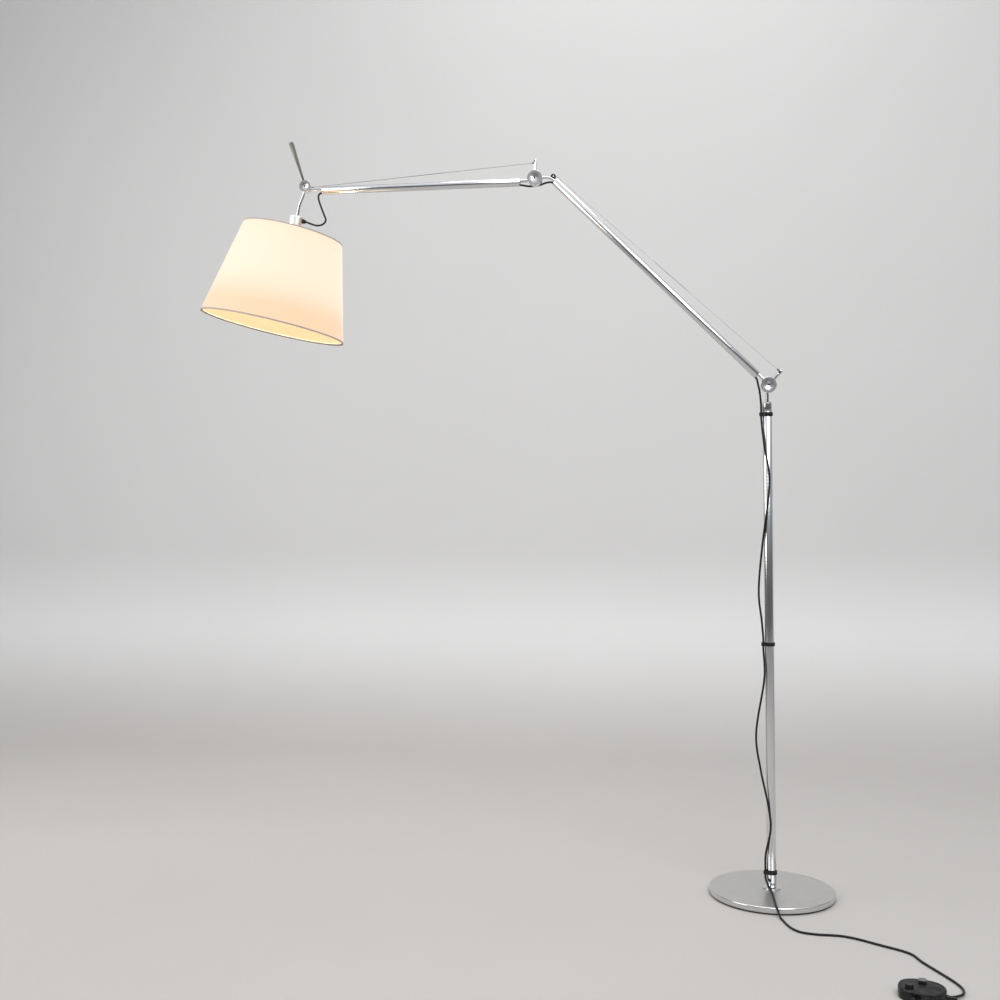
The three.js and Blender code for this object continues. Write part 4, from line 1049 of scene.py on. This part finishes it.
# ---------------------------------------------------------------- foot dimmer
@dataclass
class Dimmer:
    """Egg-shaped foot dimmer on the floor: tray, cover, dial, key and grip pad."""

    half_length: float = 48.4
    half_width: float = 40.4
    power: float = 0.84
    corners: int = 96
    dial_at: tuple[float, float] = (-23.8, -21.4)
    key_at: tuple[float, float] = (0.0, 14.0)

    def outline(self, inset: float) -> Outline:
        """Returns the egg-shaped outline, drawn in by an inset."""
        made = []
        for a in angles(self.corners):
            c, s = math.cos(a), math.sin(a)
            made.append(((self.half_length - inset) * math.copysign(abs(c) ** self.power, c),
                         (self.half_width - inset) * math.copysign(abs(s) ** self.power, s)))
        return made

    def build(self) -> list[bpy.types.Object]:
        """Makes the dimmer's pieces and returns those that go with the cord."""
        tray = Shape().slab([(self.outline(i), z) for i, z in (
            (1.6, 0), (0.4, 0.8), (0, 2), (0, 10.4), (0.5, 11))], DIMMER_PLACE)
        low = settle(tray.piece("dimmer_lower_half", GLOSS_WALL), "stand", "black_plastic", "dimmer_tray")
        rim = [(0.5, 11.3), (0, 11.9), (0, 18.6), (0.5, 20.2), (1.3, 21.7), (2.4, 22.9), (3.8, 23.7), (5.4, 24),
               (7.6, 24.0), (8.2, 23.7), (8.8, 23.7), (9.4, 24.0), (16, 24), (26, 24.0)]
        top = Shape().slab([(self.outline(i), z) for i, z in rim], DIMMER_PLACE, lambda i: 0 if i < 3 else 1)
        cover = settle(top.piece("dimmer_upper_half", GLOSS_WALL, CHARCOAL, sharp=30), "stand",
                       "black_plastic", "dimmer_cover")
        dress(BOARD, "dimmer_board")
        pad = DIMMER_PLACE @ Matrix.Translation((26, -6, 23.9)) @ turn(14, "Z")
        grip = studs("dimmer_grip_pad", pad, BLACK, {"Length": 23, "Width": 15, "Pitch": 1.5, "Stud": 0.45})
        settle(grip, "stand", "black_plastic")
        bezel = Shape().swept([pad @ Vector((12.6 * math.cos(a), 8.6 * math.sin(a), 0.05)) for a in (
            2 * math.pi * k / 72 for k in range(73))], 0.55, 8).piece("dimmer_pad_rim", GLOSS_WALL)
        settle(bezel, "stand", "black_plastic")
        collar = Shape().turned(ring(9.6, 12.2, 23.2, 24.7, 0.5),
                                DIMMER_PLACE @ Matrix.Translation((*self.dial_at, 0)), 64)
        settle(collar.piece("dimmer_dial_collar", GLOSS_WALL), "stand", "black_plastic")
        reliefs = self.reliefs()
        self.dial()
        self.key()
        return [low, cover, *reliefs]

    def reliefs(self) -> list[bpy.types.Object]:
        """Makes the tapered strain reliefs where the two cords leave the case."""
        made = []
        for name, root, way in (("lamp_cord_relief", (47.5, 0, 8), (1, 0, -0.03)),
                                ("supply_relief", (-14, -39.5, 8), (0, -1, -0.08))):
            start, along = Vector(root), Vector(way).normalized()
            line = [DIMMER_PLACE @ (start + along * t) for t in range(0, 22)]
            radii = [5.2 - 0.095 * t - (0.5 if t % 4 in (2, 3) and t > 3 else 0) for t in range(0, 22)]
            made.append(settle(Shape().swept(line, radii, 20).piece(name, BLACK), "stand", "black_plastic"))
        return made

    def dial(self) -> None:
        """Makes the fluted dial with its pale marker."""
        place = DIMMER_PLACE @ Matrix.Translation((*self.dial_at, 0))
        body = softened([(0, 15), (3, 15), (3, 24.5), (7.5, 24.5), (7.7, 32.4), (6.6, 33.0), (5.4, 32.5), (0, 32.2)],
                        0.5, closed=False)
        knob = Shape().turned(body, place, 64).piece("dimmer_dial_knob", BLACK)
        settle(knob, "dimmer_dial", "black_plastic", "dimmer_dial")
        flutes = ribs_round("dimmer_dial_flutes", place @ Matrix.Translation((0, 0, 28.5)), BLACK, {
            "Count": 18, "Radius": 7.7, "Rib": 1.0, "Height": 7.4})
        settle(flutes, "dimmer_dial", "black_plastic")
        arc = [place @ Vector((4.2 * math.cos(a), 4.2 * math.sin(a), 32.45)) for a in (
            math.radians(200 + 140 * k / 24) for k in range(25))]
        settle(Shape().swept(arc, 0.55, 8).piece("dimmer_dial_marker", KEY_GREY), "dimmer_dial", "key_grey")

    def key(self) -> None:
        """Makes the push key with rounded corners and a grey top."""
        place = DIMMER_PLACE @ Matrix.Translation((*self.key_at, 0))
        face = softened([(-8, -9), (8, -9), (8, 9), (-8, 9)], 3)
        for _ in range(2):
            face = softened(face, 0.9)
        layers = []
        for height, shrink in (
                (18.6, 1), (31.2, 1), (31.9, 0.97), (32.4, 0.92), (32.5, 0.85), (32.2, 0.6), (32.1, 0.2)):
            layers.append(([(x * shrink, y * shrink) for x, y in face], height))
        shape = Shape().slab(layers, place, lambda i: 0 if i < 2 else 1)
        settle(shape.piece("dimmer_push_key", BLACK, KEY_GREY, sharp=50), "dimmer_key", "key_grey", "dimmer_key")


# ---------------------------------------------------------------- base and pole
@dataclass
class Stand:
    """Weighted round base, foot flange, pole tube, top sleeve and the three cord clips."""

    base_r: float = 165.0
    base_top: float = 18.5
    pole_r: float = 12.5
    clip_heights: dict[str, float] = field(default_factory=lambda: {
        "top": 1296.0, "middle": 672.0, "bottom": 61.0})

    def build(self) -> None:
        """Makes the stand's pieces from the floor up."""
        pad = softened([(0, 0), (160.2, 0), (161, 1), (161, 4.4), (0, 4.4)], 0.5, closed=False)
        settle(Shape().turned(pad, STAND, 160).piece("foot_pad_rubber", RUBBER), "stand", "foot_rubber", "foot_pad")
        edge = [(self.base_r - 3 + 3 * math.cos(a), self.base_top - 3 + 3 * math.sin(a))
                for a in (math.radians(15 * k) for k in range(7))]
        cover = [(163.8, 4.8), (164.7, 4.8), (165, 5.3), *edge, (150, self.base_top), (120, self.base_top),
                 (80, self.base_top), (40, self.base_top), (5.6, self.base_top), (5.6, 17.3), (161.6, 17.3),
                 (163.8, 15.1)]
        skin = Shape().turned(cover, STAND, 192, marks=lambda i: 1 if 1 < i < 7 else 0)
        settle(skin.piece("base_cover_plate", SATIN, CHROME, sharp=50), "stand", "satin_aluminium", "base_cover")
        dress(INNER_STEEL, "base_weight", "base_bolt")
        foot = softened([(0, 18.6), (23.6, 18.6), (24, 19.6), (23.4, 21.2), (16.5, 22.4), (10.7, 22.4), (10.7, 70),
                         (0, 70)], 0.7, closed=False)
        settle(Shape().turned(foot, STAND, 96).piece("pole_foot_flange", CHROME), "stand", "flange_chrome",
               "pole_foot")
        r, low, high = self.pole_r, 22.7, 1303
        pole = [(r - 1.5, low), (r - 0.3, low), (r, low + 0.4), (r, 200), (r, 650), (r, high - 0.4),
                (r - 0.3, high), (r - 1.5, high)]
        settle(Shape().turned(pole, STAND, 72).piece("pole_shaft", POLISHED), "stand", "polished_aluminium",
               "pole_tube")
        sleeve = softened([(7.6, 1281.3), (10.7, 1281.3), (10.7, 1303.3), (12.8, 1303.3), (12.8, 1326), (11.8, 1327),
                           (7.6, 1327)], 0.4)
        settle(Shape().turned(sleeve, STAND, 64).piece("pole_end_sleeve", POLISHED), "stand",
               "polished_aluminium", "pole_top_sleeve")
        dress(BLACK_CAD, "swivel_bush")
        for name, height in self.clip_heights.items():
            settle(self.clip(f"clip_{name}", height), "stand", "black_plastic", f"cord_clip_{name}")

    def clip(self, name: str, height: float) -> bpy.types.Object:
        """Makes a clip: a split band on the pole with a hooked loop round the cord."""
        x, y = CORD_AT_CLIP
        away = math.atan2(y, x)
        rows, shape = [], Shape()
        outer: list[tuple[float, float]] = []
        open_by = math.radians(24)
        loop_r, band_r = 4.3, 14.1
        for k in range(41):
            a = away + open_by + (2 * math.pi - 2 * open_by) * k / 40
            outer.append((band_r * math.cos(a), band_r * math.sin(a)))
        for k in range(1, 24):
            a = away - math.pi * 0.62 + 2 * math.pi * 0.62 * k / 24
            outer.append((x + loop_r * math.cos(a), y + loop_r * math.sin(a)))
        half, thick = 5.0, 1.05
        for i, (px, py) in enumerate(outer):
            ax, ay = outer[i - 1]
            bx, by = outer[(i + 1) % len(outer)]
            way = Vector((bx - ax, by - ay, 0)).normalized()
            out = Vector((way.y, -way.x, 0))
            section = [(-thick, -half + 0.5), (-thick * 0.5, -half), (thick * 0.5, -half), (thick, -half + 0.5),
                       (thick, half - 0.5), (thick * 0.5, half), (-thick * 0.5, half), (-thick, half - 0.5)]
            rows.append([shape.add_corner(Vector((px, py, height)) + out * u + Vector((0, 0, w)), (px, py, w))
                         for u, w in section])
        for low, high in zip(rows, [*rows[1:], rows[0]]):
            shape.join_rings(low, high)
        return shape.piece(name, BLACK)


# ---------------------------------------------------------------- joints, arms, head
@dataclass
class JointPieces:
    """The turned pieces that the three arm joints share."""

    chamfer: float = 0.9

    def disc(self, shape: Shape, place: Matrix, r: float, y: float) -> Shape:
        """Adds a joint disc with a dished face and a recessed hole to a shape."""
        half = DISC_T / 2
        cut = self.chamfer
        outline = [(3.2, y - half + 0.7), (4.2, y - half + 0.2), (r - 3.2, y - half), (r - cut, y - half),
                   (r - 0.25, y - half + cut * 0.6), (r, y - half + cut), (r, y + half - cut),
                   (r - 0.25, y + half - cut * 0.6), (r - cut, y + half), (r - 3.2, y + half),
                   (4.2, y + half - 0.2), (3.2, y + half - 0.7)]
        return shape.turned(outline, place @ ON_Y, 96)

    def bolt(self, name: str, place: Matrix, body: str, node: str) -> None:
        """Makes a pivot bolt: a black socket head in the front disc and a dome nut behind."""
        front, back = FRONT_Y - DISC_T / 2 + 2.3, DISC_T / 2 + 0.3
        outline = softened([(0, front + 1.6), (1.7, front + 1.5), (1.8, front), (3.0, front), (3.0, back), (6, back),
                            (6, back + 3), (4.6, back + 5), (0, back + 5.8)], 0.4, closed=False)
        settle(Shape().turned(outline, place @ ON_Y, 48).piece(name, BLACK_STEEL), body, "black_steel", node)

    def lever(self, name: str, place: Matrix, y: float, body: str, node: str) -> None:
        """Makes a lever: a round bright shaft with a domed tip."""
        outline = [(0, 20.9), (4.8, 20.9), (4.8, 30), (4.8, 50.6), (4.4, 51.7), (3.4, 52.6), (2.0, 53), (0, 53)]
        shape = Shape().turned(outline, place @ Matrix.Translation((0, y, 0)), 48)
        settle(shape.piece(name, POLISHED), body, "polished_aluminium", node)

    def pin(self, name: str, place: Matrix, lever_y: float, wire_y: float, toward: Vector, body: str,
            node: str) -> None:
        """Makes the black pin through a lever's eye, with the ferrule that ends the wire."""
        side = math.copysign(1, wire_y - lever_y)
        low, high = sorted((lever_y - side * 5.3, wire_y + side * 2.6))
        shape = Shape().turned(rod(low, high, 2.2, 0.5), place @ Matrix.Translation((0, 0, LEVER_EYE)) @ ON_Y, 32)
        middle = place @ Vector((0, wire_y, LEVER_EYE))
        shape.swept([middle - toward * 2.8, middle - toward * 2.2, middle, middle + toward * 9, middle + toward * 11],
                    [1.6, 2.35, 2.5, 2.3, 1.3], 20)
        settle(shape.piece(name, BLACK_STEEL), body, "black_steel", node)


@dataclass
class Arm:
    """One spring-balanced arm: foot disc with its rod, tube, spring, far fitting, roller and wire."""

    name: str
    place: Matrix
    y: float
    start: float
    end: float
    rise: float
    spring: tuple[float, float]
    tube_r: float = 11.0
    bore: float = 9.8
    rod_r: float = 4.3
    rod_rise: float = 4.4
    joint: JointPieces = field(default_factory=JointPieces)

    def at(self, y: float, rise: float) -> Matrix:
        """Returns the frame whose Z runs along the arm, at a height and a depth."""
        return self.place @ Matrix.Translation((0, y, rise)) @ ALONG_ARM

    def along(self, s: float, rise: float, y: float | None = None) -> Vector:
        """Returns a point along the arm."""
        return on_arm(self.place, s, self.y if y is None else y, rise)

    def build(self) -> None:
        """Makes the foot, the tube and the spring."""
        foot = self.joint.disc(Shape(), self.place, DISC_R, self.y)
        r, foot_end = self.rod_r, self.start + 9
        stub = [(0, 19.5), (r, 19.5), (r, self.start - 3), (r, foot_end), (0, foot_end)]
        foot.turned(stub, self.at(self.y, self.rise + self.rod_rise), 40)
        self.plug(foot, self.start + 1, self.start + 22)
        settle(foot.piece(f"{self.name}_foot_disc", TURNED), self.name, "turned_aluminium", f"{self.name}_foot")
        out = self.tube_r
        wall = [(self.bore, self.start), (out - 0.2, self.start), (out, self.start + 0.3), (out, 300),
                (out, self.end - 0.3), (out - 0.2, self.end), (self.bore, self.end)]
        tube = Shape().turned(wall, self.at(self.y, self.rise), 64)
        settle(tube.piece(f"{self.name}_shaft", POLISHED), self.name, "polished_aluminium", f"{self.name}_tube")
        low, high = self.spring
        coil = winding(f"{self.name}_coil_spring", self.at(self.y, self.rise + 3.6) @ Matrix.Translation((0, 0, low)),
                       STEEL, {"Turns": (high - low) / 2.2, "Radius": 4.1, "Top Radius": 4.1,
                               "Height": high - low, "Wire": 0.85})
        settle(coil, self.name, "inner_steel", f"{self.name}_spring")

    def plug(self, shape: Shape, low: float, high: float) -> None:
        """Adds the plug in a tube's end, cut away below for the cable."""
        r, floor = self.bore - 0.3, -3.4
        section = [(r * math.cos(a), max(r * math.sin(a), floor)) for a in angles(48)]
        frame_along = self.place @ Matrix.Translation((0, self.y, self.rise)) @ turn(-90, "Y") @ turn(-90, "Z")
        shape.slab([([(x * k, z * k) for x, z in section], s) for s, k in (
            (low, 0.93), (low + 0.8, 1.0), (high - 0.8, 1.0), (high, 0.93))], frame_along)


@dataclass
class Wire:
    """A tension wire from a lever's pin over a roller, in halves that ride on the wire's body and the arm's."""

    name: str
    arm: Arm
    joint: str
    keep: float
    pin: Vector
    end: Vector
    roller_at: Vector
    roller_r: float
    inner_end: Vector
    r: float = 0.75

    def build(self) -> None:
        """Makes the long half on the lever's side, the short half on the roller's side and the tail."""
        way = (self.end - self.pin).normalized()
        span = (self.end - self.pin).length
        normal = self.arm.place.to_3x3() @ Vector((0, 0, 1))
        for part, low, high, body in (("near", 9.0, 0.55 * span, f"{self.name}_wire"),
                                      ("far", 0.40 * span, span, f"{self.name}_arm")):
            steps = 12
            line = [self.pin + way * (low + (high - low) * k / steps) for k in range(steps + 1)]
            made = Shape().swept(line, self.r, 10).piece(f"{self.name}_wire_{part}", STEEL)
            settle(made, body, "inner_steel", *([f"{self.name}_tension_wire"] if part == "near" else []))
            self.end * MM
            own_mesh(made)
        out = (self.end - self.roller_at).normalized()
        axis = way.cross(out).normalized()
        radius = (self.end - self.roller_at).length
        bend = [self.roller_at + (Matrix.Rotation(math.radians(a), 3, axis) @ out) * radius
                for a in range(0, -100, -11)]
        tail = [*bend, self.inner_end]
        turned = Shape().swept(tail, self.r, 10).piece(f"{self.name}_wire_turn", STEEL)
        settle(turned, f"{self.name}_arm", "inner_steel")


@dataclass
class ArmSystem:
    """Swivel head, both arms, their levers, rollers and wires."""

    lower: Arm = field(default_factory=lambda: Arm("lower_arm", LOWER, FRONT_Y, 40, 826, -3, (70, 290)))
    upper: Arm = field(default_factory=lambda: Arm("upper_arm", UPPER, 0.0, 44, 629, -8.9, (74, 250)))
    joint: JointPieces = field(default_factory=JointPieces)

    def build(self) -> None:
        """Makes every piece of the arms, from the swivel out."""
        self.swivel()
        self.lower.build()
        self.upper.build()
        self.elbow()
        self.far_end()
        self.levers_and_wires()
        dress(BLACK_CAD, "lower_friction_washer", "elbow_friction_washer", "head_friction_washer")

    def swivel(self) -> None:
        """Makes the swivel stem and the disc on it."""
        stem = [(0, 1270), (4.6, 1270), (5, 1270.5), (5, 1329), (5, 1330), (5, 1350), (5, 1355), (0, 1355)]
        settle(Shape().turned(stem, STAND, 48).piece("swivel_post", POLISHED), "swivel_head", "polished_aluminium",
               "swivel_stem")
        disc = self.joint.disc(Shape(), Matrix.Translation(LOWER_JOINT), DISC_R, 0)
        settle(disc.piece("swivel_joint_disc", TURNED), "swivel_head", "turned_aluminium", "swivel_disc")
        for name, place, body, node in (
                ("swivel_pivot", LOWER_JOINT, "swivel_head", "lower_pivot_bolt"),
                ("elbow_pivot", ELBOW, "lower_arm", "elbow_pivot_bolt"),
                ("head_pivot", HEAD, "head", "head_pivot_bolt")):
            self.joint.bolt(name, Matrix.Translation(place), body, node)

    def elbow(self) -> None:
        """Makes the bent rod, the plug, the elbow disc and the roller's ear and axle."""
        shape = Shape()
        bend = [Vector((x, -11.6, z)) for x, z in (
            (-614, 1976.5), (-604, 1976.5), (-595.5, 1975.6), (-588, 1973), (-581.5, 1968.8))]
        bend.append(self.lower.along(822, -1.5, -11.6))
        shape.swept(curve_through(bend, 6), 3.6, 24)
        self.lower.plug(shape, 805, 829)
        self.joint.disc(shape, Matrix.Translation(ELBOW), DISC_R, FRONT_Y)
        ear = softened([(-832, -2.6), (-844, -2.6), (-845, 5.4), (-840, 5.4), (-832, -0.4)], 1.2)
        place = LOWER @ Matrix.Translation((0, FRONT_Y + 7.9, -0.4)) @ turn(90, "X")
        shape.slab([(ear, 0), (ear, 3)], place)
        shape.turned(rod(-4.6, 6.0, 2.0, 0.3), LOWER @ Matrix.Translation((-841, FRONT_Y, 3)) @ ON_Y, 24)
        settle(shape.piece("elbow_fitting", TURNED), "lower_arm", "turned_aluminium", "elbow_bracket")
        self.roller("lower_guide_roller", LOWER @ Matrix.Translation((-841, FRONT_Y, 3)), 7.3, 4.0, 2.3,
                    "lower_roller")

    def far_end(self) -> None:
        """Makes the plug, rod, disc and roller axle at the head's end of the upper arm."""
        shape = Shape()
        axis = self.upper.rise + self.upper.rod_rise
        r = self.upper.rod_r
        shape.turned([(0, 621), (r, 621), (r, 640), (r, 662.5), (0, 662.5)], self.upper.at(0.0, axis), 40)
        self.upper.plug(shape, 608, 628)
        self.joint.disc(shape, Matrix.Translation(HEAD) @ turn(0.85, "Y"), 18, 0)
        shape.turned(rod(3.5, 10.1, 1.5, 0.3), Matrix.Translation((-1298, 0, 1988.3)) @ ON_Y, 24)
        settle(shape.piece("head_fitting", TURNED), "upper_arm", "turned_aluminium", "head_bracket")
        self.roller("upper_guide_roller", Matrix.Translation((-1298, 7.3, 1988.3)), 4.5, 2.25, 1.8, "upper_roller")

    def roller(self, name: str, place: Matrix, r: float, half: float, bore: float, node: str) -> None:
        """Makes a grooved black roller that rides on its own body."""
        groove = 1.1
        outline = softened([(bore, -half), (r, -half), (r, -0.5 * half), (r - groove, -0.25 * half),
                            (r - groove, 0.25 * half), (r, 0.5 * half), (r, half), (bore, half)], 0.25)
        settle(Shape().turned(outline, place @ ON_Y, 56).piece(name, BLACK_STEEL), node, "black_steel", node)

    def levers_and_wires(self) -> None:
        """Makes the two levers, their pins and the two wires."""
        lower_lever = Matrix.Translation(LOWER_JOINT) @ turn(41.6, "Y")
        upper_lever = Matrix.Translation(ELBOW) @ turn(2.3, "Y")
        self.joint.lever("lower_wire_lever", lower_lever, 0.0, "swivel_head", "lower_lever")
        self.joint.lever("upper_wire_lever", upper_lever, FRONT_Y, "lower_arm", "upper_lever")
        lower_pin = lower_lever @ Vector((0, FRONT_Y, LEVER_EYE))
        upper_pin = upper_lever @ Vector((0, 0, LEVER_EYE))
        lower_end = self.lower.along(840, 10.25)
        upper_end = Vector((-1297, 7.3, 1992.75))
        self.joint.pin("lower_lever_bolt", lower_lever, 0.0, FRONT_Y, (lower_end - lower_pin).normalized(),
                       "swivel_head", "lower_lever_pin")
        self.joint.pin("upper_lever_bolt", upper_lever, FRONT_Y, 0.0, (upper_end - upper_pin).normalized(),
                       "lower_arm", "upper_lever_pin")
        Wire("lower", self.lower, "lower_arm_hinge", 0.70, lower_pin, lower_end, self.lower.along(841, 3), 7.3,
             self.lower.along(822, -3)).build()
        Wire("upper", self.upper, "elbow_hinge", 0.52, upper_pin, upper_end, Vector((-1298, 7.3, 1988.3)), 4.5,
             Vector((-1290, 7.0, 1983.0))).build()


@dataclass
class Head:
    """The tilting head: its disc, bent stem and flat handle."""

    disc_r: float = 18.0
    stem_r: float = 4.0
    handle_lean: float = -18.8
    joint: JointPieces = field(default_factory=JointPieces)

    def build(self) -> None:
        """Makes the head's pieces."""
        disc = self.joint.disc(Shape(), Matrix.Translation(HEAD), self.disc_r, FRONT_Y)
        settle(disc.piece("head_joint_disc", TURNED), "head", "turned_aluminium", "head_disc")
        bend = [HEAD + Vector((-3.9, FRONT_Y, -17.6)), HEAD + Vector((-5.4, FRONT_Y, -26))]
        bend += [HOLDER_PLACE @ Vector((0, 0, d)) for d in (34, 10, -9)]
        shape = Shape().swept(curve_through(bend, 10), self.stem_r, 28)
        shape.turned(ring(3.8, 7, -9.5, -5, 0.5), HOLDER_PLACE, 40)
        settle(shape.piece("head_rod", POLISHED), "head", "polished_aluminium", "head_stem")
        settle(self.handle(), "head", "handle_metal", "head_handle")

    def handle(self) -> bpy.types.Object:
        """Makes the handle, widening towards its rounded tip, with rounded edges."""
        place = (Matrix.Translation(HEAD) @ turn(self.handle_lean, "Y") @ Matrix.Translation((0, FRONT_Y, 0))
                 @ turn(90, "X"))
        side = [(2.6, 19.3), (3.6, 46), (4.8, 76), (6.0, 104), (7.2, 132), (7.1, 135), (6.2, 137.6), (4.2, 139.2),
                (1.6, 139.8)]
        outline = [*side, *[(-x, z) for x, z in reversed(side)]]
        middle = 78.0
        layers = []
        for depth, inset in (
                (-3.4, 1.0), (-3.0, 0.45), (-2.2, 0.1), (-1.4, 0), (1.4, 0), (2.2, 0.1), (3.0, 0.45), (3.4, 1.0)):
            layers.append(([(x - math.copysign(min(inset, abs(x) * 0.6), x), z - math.copysign(inset, z - middle))
                            for x, z in outline], depth))
        return Shape().slab(layers, place).piece("tilt_handle", HANDLE, sharp=50)


# ---------------------------------------------------------------- lamp holder and shade
@dataclass
class LampHolder:
    """The lamp holder's cap, cable gland, socket, lit bulb, shade carrier and nut."""

    cap_r: float = 20.0
    cap_h: float = 45.0

    def build(self) -> None:
        """Makes the holder's pieces."""
        r, foot = self.cap_r, -self.cap_h
        cap = [(4.5, -2), (4.5, -0.4), (5.1, 0), (r - 1.8, 0), (r - 0.8, -0.5), (r - 0.1, -1.8), (r, -4), (r, -25),
               (r, foot + 0.5), (r - 0.4, foot), (r - 1.6, foot), (r - 1.6, -2)]
        shape = Shape().turned(cap, HOLDER_PLACE, 96, marks=lambda i: 1 if i == 3 else 0)
        settle(shape.piece("holder_cap_shell", CAP, BLACK_STEEL, sharp=40), "lamp_holder", "satin_aluminium",
               "holder_cap")
        gland = HOLDER_PLACE @ Matrix.Translation((0, 0, -10.6)) @ turn(90, "Y")
        nose = softened([(3.1, 19.4), (7, 19.4), (7, 22.4), (6.4, 22.8), (6.3, 24.6), (5.9, 25), (5.6, 28.5),
                         (3.1, 28.5)], 0.3)
        settle(Shape().turned(nose, gland, 48).piece("holder_gland", BLACK), "lamp_holder", "black_plastic",
               "cable_gland")
        socket = softened([(0, -12), (18.1, -12), (18.1, -50), (16.8, -51), (16.8, -84), (13.8, -84), (13.8, -44),
                           (0, -44)], 0.5, closed=False)
        settle(Shape().turned(socket, HOLDER_PLACE, 64).piece("socket_shell", WHITE), "lamp_holder", "white_plastic",
               "lamp_socket")
        dress(INNER_STEEL, "bulb_base")
        thread = winding("bulb_thread", HOLDER_PLACE @ Matrix.Translation((0, 0, -78)), STEEL, {
            "Turns": 6, "Radius": 12.7, "Top Radius": 12.7, "Height": 24, "Wire": 0.6})
        settle(thread, "lamp_holder", "inner_steel")
        glass = [(0, -161), (9, -159.8), (17, -156.6), (23.4, -151), (27, -146), (29.4, -138), (30, -130), (28.8, -121),
                 (26, -114), (20, -103.6), (15, -94), (13.4, -87), (13, -83), (11.6, -80.8), (0, -80.4)]
        settle(Shape().turned(glass, HOLDER_PLACE, 64).piece("bulb_envelope", OPAL, sharp=80), "lamp_holder",
               "bulb_opal", "bulb_glass")
        dress(Moulded("frame_white", (0.76, 0.75, 0.72), 0.34, source=Source.OBJECT), "shade_carrier")
        nut = Shape().turned(ring(17.4, 22.2, -68, -57.6, 0.8), HOLDER_PLACE, 64)
        settle(nut.piece("carrier_ring_nut", WHITE), "lamp_holder", "white_plastic", "carrier_nut")
        ribs = ribs_round("nut_grip", HOLDER_PLACE @ Matrix.Translation((0, 0, -62.8)), WHITE, {
            "Count": 36, "Radius": 22.1, "Rib": 0.85, "Height": 8.6})
        settle(ribs, "lamp_holder", "white_plastic")


@dataclass
class Shade:
    """Conical cloth shade with folded trims, a seam and the ring in its lower rim."""

    top: tuple[float, float] = (145.0, -51.0)
    foot: tuple[float, float] = (210.0, -333.0)
    wall: float = 1.8
    seam_at: float = 22.0
    sides: int = 128

    def radius(self, z: float) -> float:
        """Returns the outer radius at a height."""
        t = (z - self.top[1]) / (self.foot[1] - self.top[1])
        return self.top[0] + t * (self.foot[0] - self.top[0])

    def build(self) -> None:
        """Makes the cloth, its trims and the lower ring."""
        place = HOLDER_PLACE @ turn(self.seam_at, "Z")
        top, foot = self.top[1], self.foot[1]
        rows = [top + (foot - top) * k / 10 for k in range(11)]
        outline = [(self.radius(z), z) for z in rows] + [(self.radius(z) - self.wall, z) for z in reversed(rows)]
        shape = Shape().turned(outline, place, self.sides, marks=lambda i: 1 if 10 < i < 21 else 0)
        shape.grain = [self.on_cloth(place, c) for c in shape.corners]
        cloth = shape.piece("shade_cone", CLOTH_OUT, CLOTH_IN, sharp=60)
        settle(cloth, "lamp_holder", "shade_cloth", "lamp_shade")
        slope = (self.foot[0] - self.top[0]) / (foot - top)
        self.trim("shade_top_trim", place, top, -3.4, slope)
        self.trim("shade_foot_trim", place, foot, 4.2, slope)
        z = foot + 4
        r = self.radius(z) - self.wall - 2.8
        lower = [(r + 1.6 * math.cos(a), z + 1.6 * math.sin(a)) for a in angles(12)]
        settle(Shape().turned(lower, HOLDER_PLACE, self.sides, closed=True).piece("shade_foot_wire", FRAME_WHITE),
               "lamp_holder", "frame_white", "shade_bottom_ring")

    def on_cloth(self, place: Matrix, corner: Vector) -> tuple[float, float, float]:
        """Returns a corner's place on the cloth: round from the seam, in or out, and down from the top."""
        local = place.inverted() @ corner
        around = math.atan2(local.y, local.x) * 178
        return around, 0.0, self.top[1] - local.z

    def trim(self, name: str, place: Matrix, z: float, up: float, slope: float) -> None:
        """Makes the narrow folded tape round a rim."""
        r = self.radius(z)
        near, far = r + 0.35, self.radius(z + up) + 0.35
        edge = -math.copysign(0.35, up)
        outline = softened([(far, z + up), (near, z + edge), (r - self.wall - 0.35, z + edge),
                            (self.radius(z + up) - self.wall - 0.35, z + up),
                            (self.radius(z + up) - self.wall + 0.2, z + up),
                            (r - self.wall + 0.2, z + math.copysign(0.4, up)), (r - 0.2, z + math.copysign(0.4, up)),
                            (self.radius(z + up) - 0.2, z + up)], 0.15)
        settle(Shape().turned(outline, place, self.sides).piece(name, TRIM), "lamp_holder", "shade_cloth")

    def light(self) -> None:
        """Puts the bulb's light inside the shade."""
        data = bpy.data.lights.new("bulb_light", "POINT")
        data.energy, data.color, data.shadow_soft_size = 5.0, (1.0, 0.72, 0.42), 0.03
        made = linked("bulb_light", data)
        made.location = HOLDER_PLACE @ Vector((0, 0, -175)) * MM


def main() -> None:
    """Builds the lamp in order: camera, cords, stand, arms, head, holder, shade, lights."""
    logging.basicConfig(level=logging.INFO, format="%(name)s: %(message)s")
    studio = Studio()
    studio.camera()
    cords = Cords()
    cords.build(Dimmer().build)
    cords.arm_cables()
    Stand().build()
    ArmSystem().build()
    Head().build()
    LampHolder().build()
    shade = Shade()
    shade.build()
    shade.light()
    studio.floor()
    studio.lights()


if __name__ == "__main__":
    main()
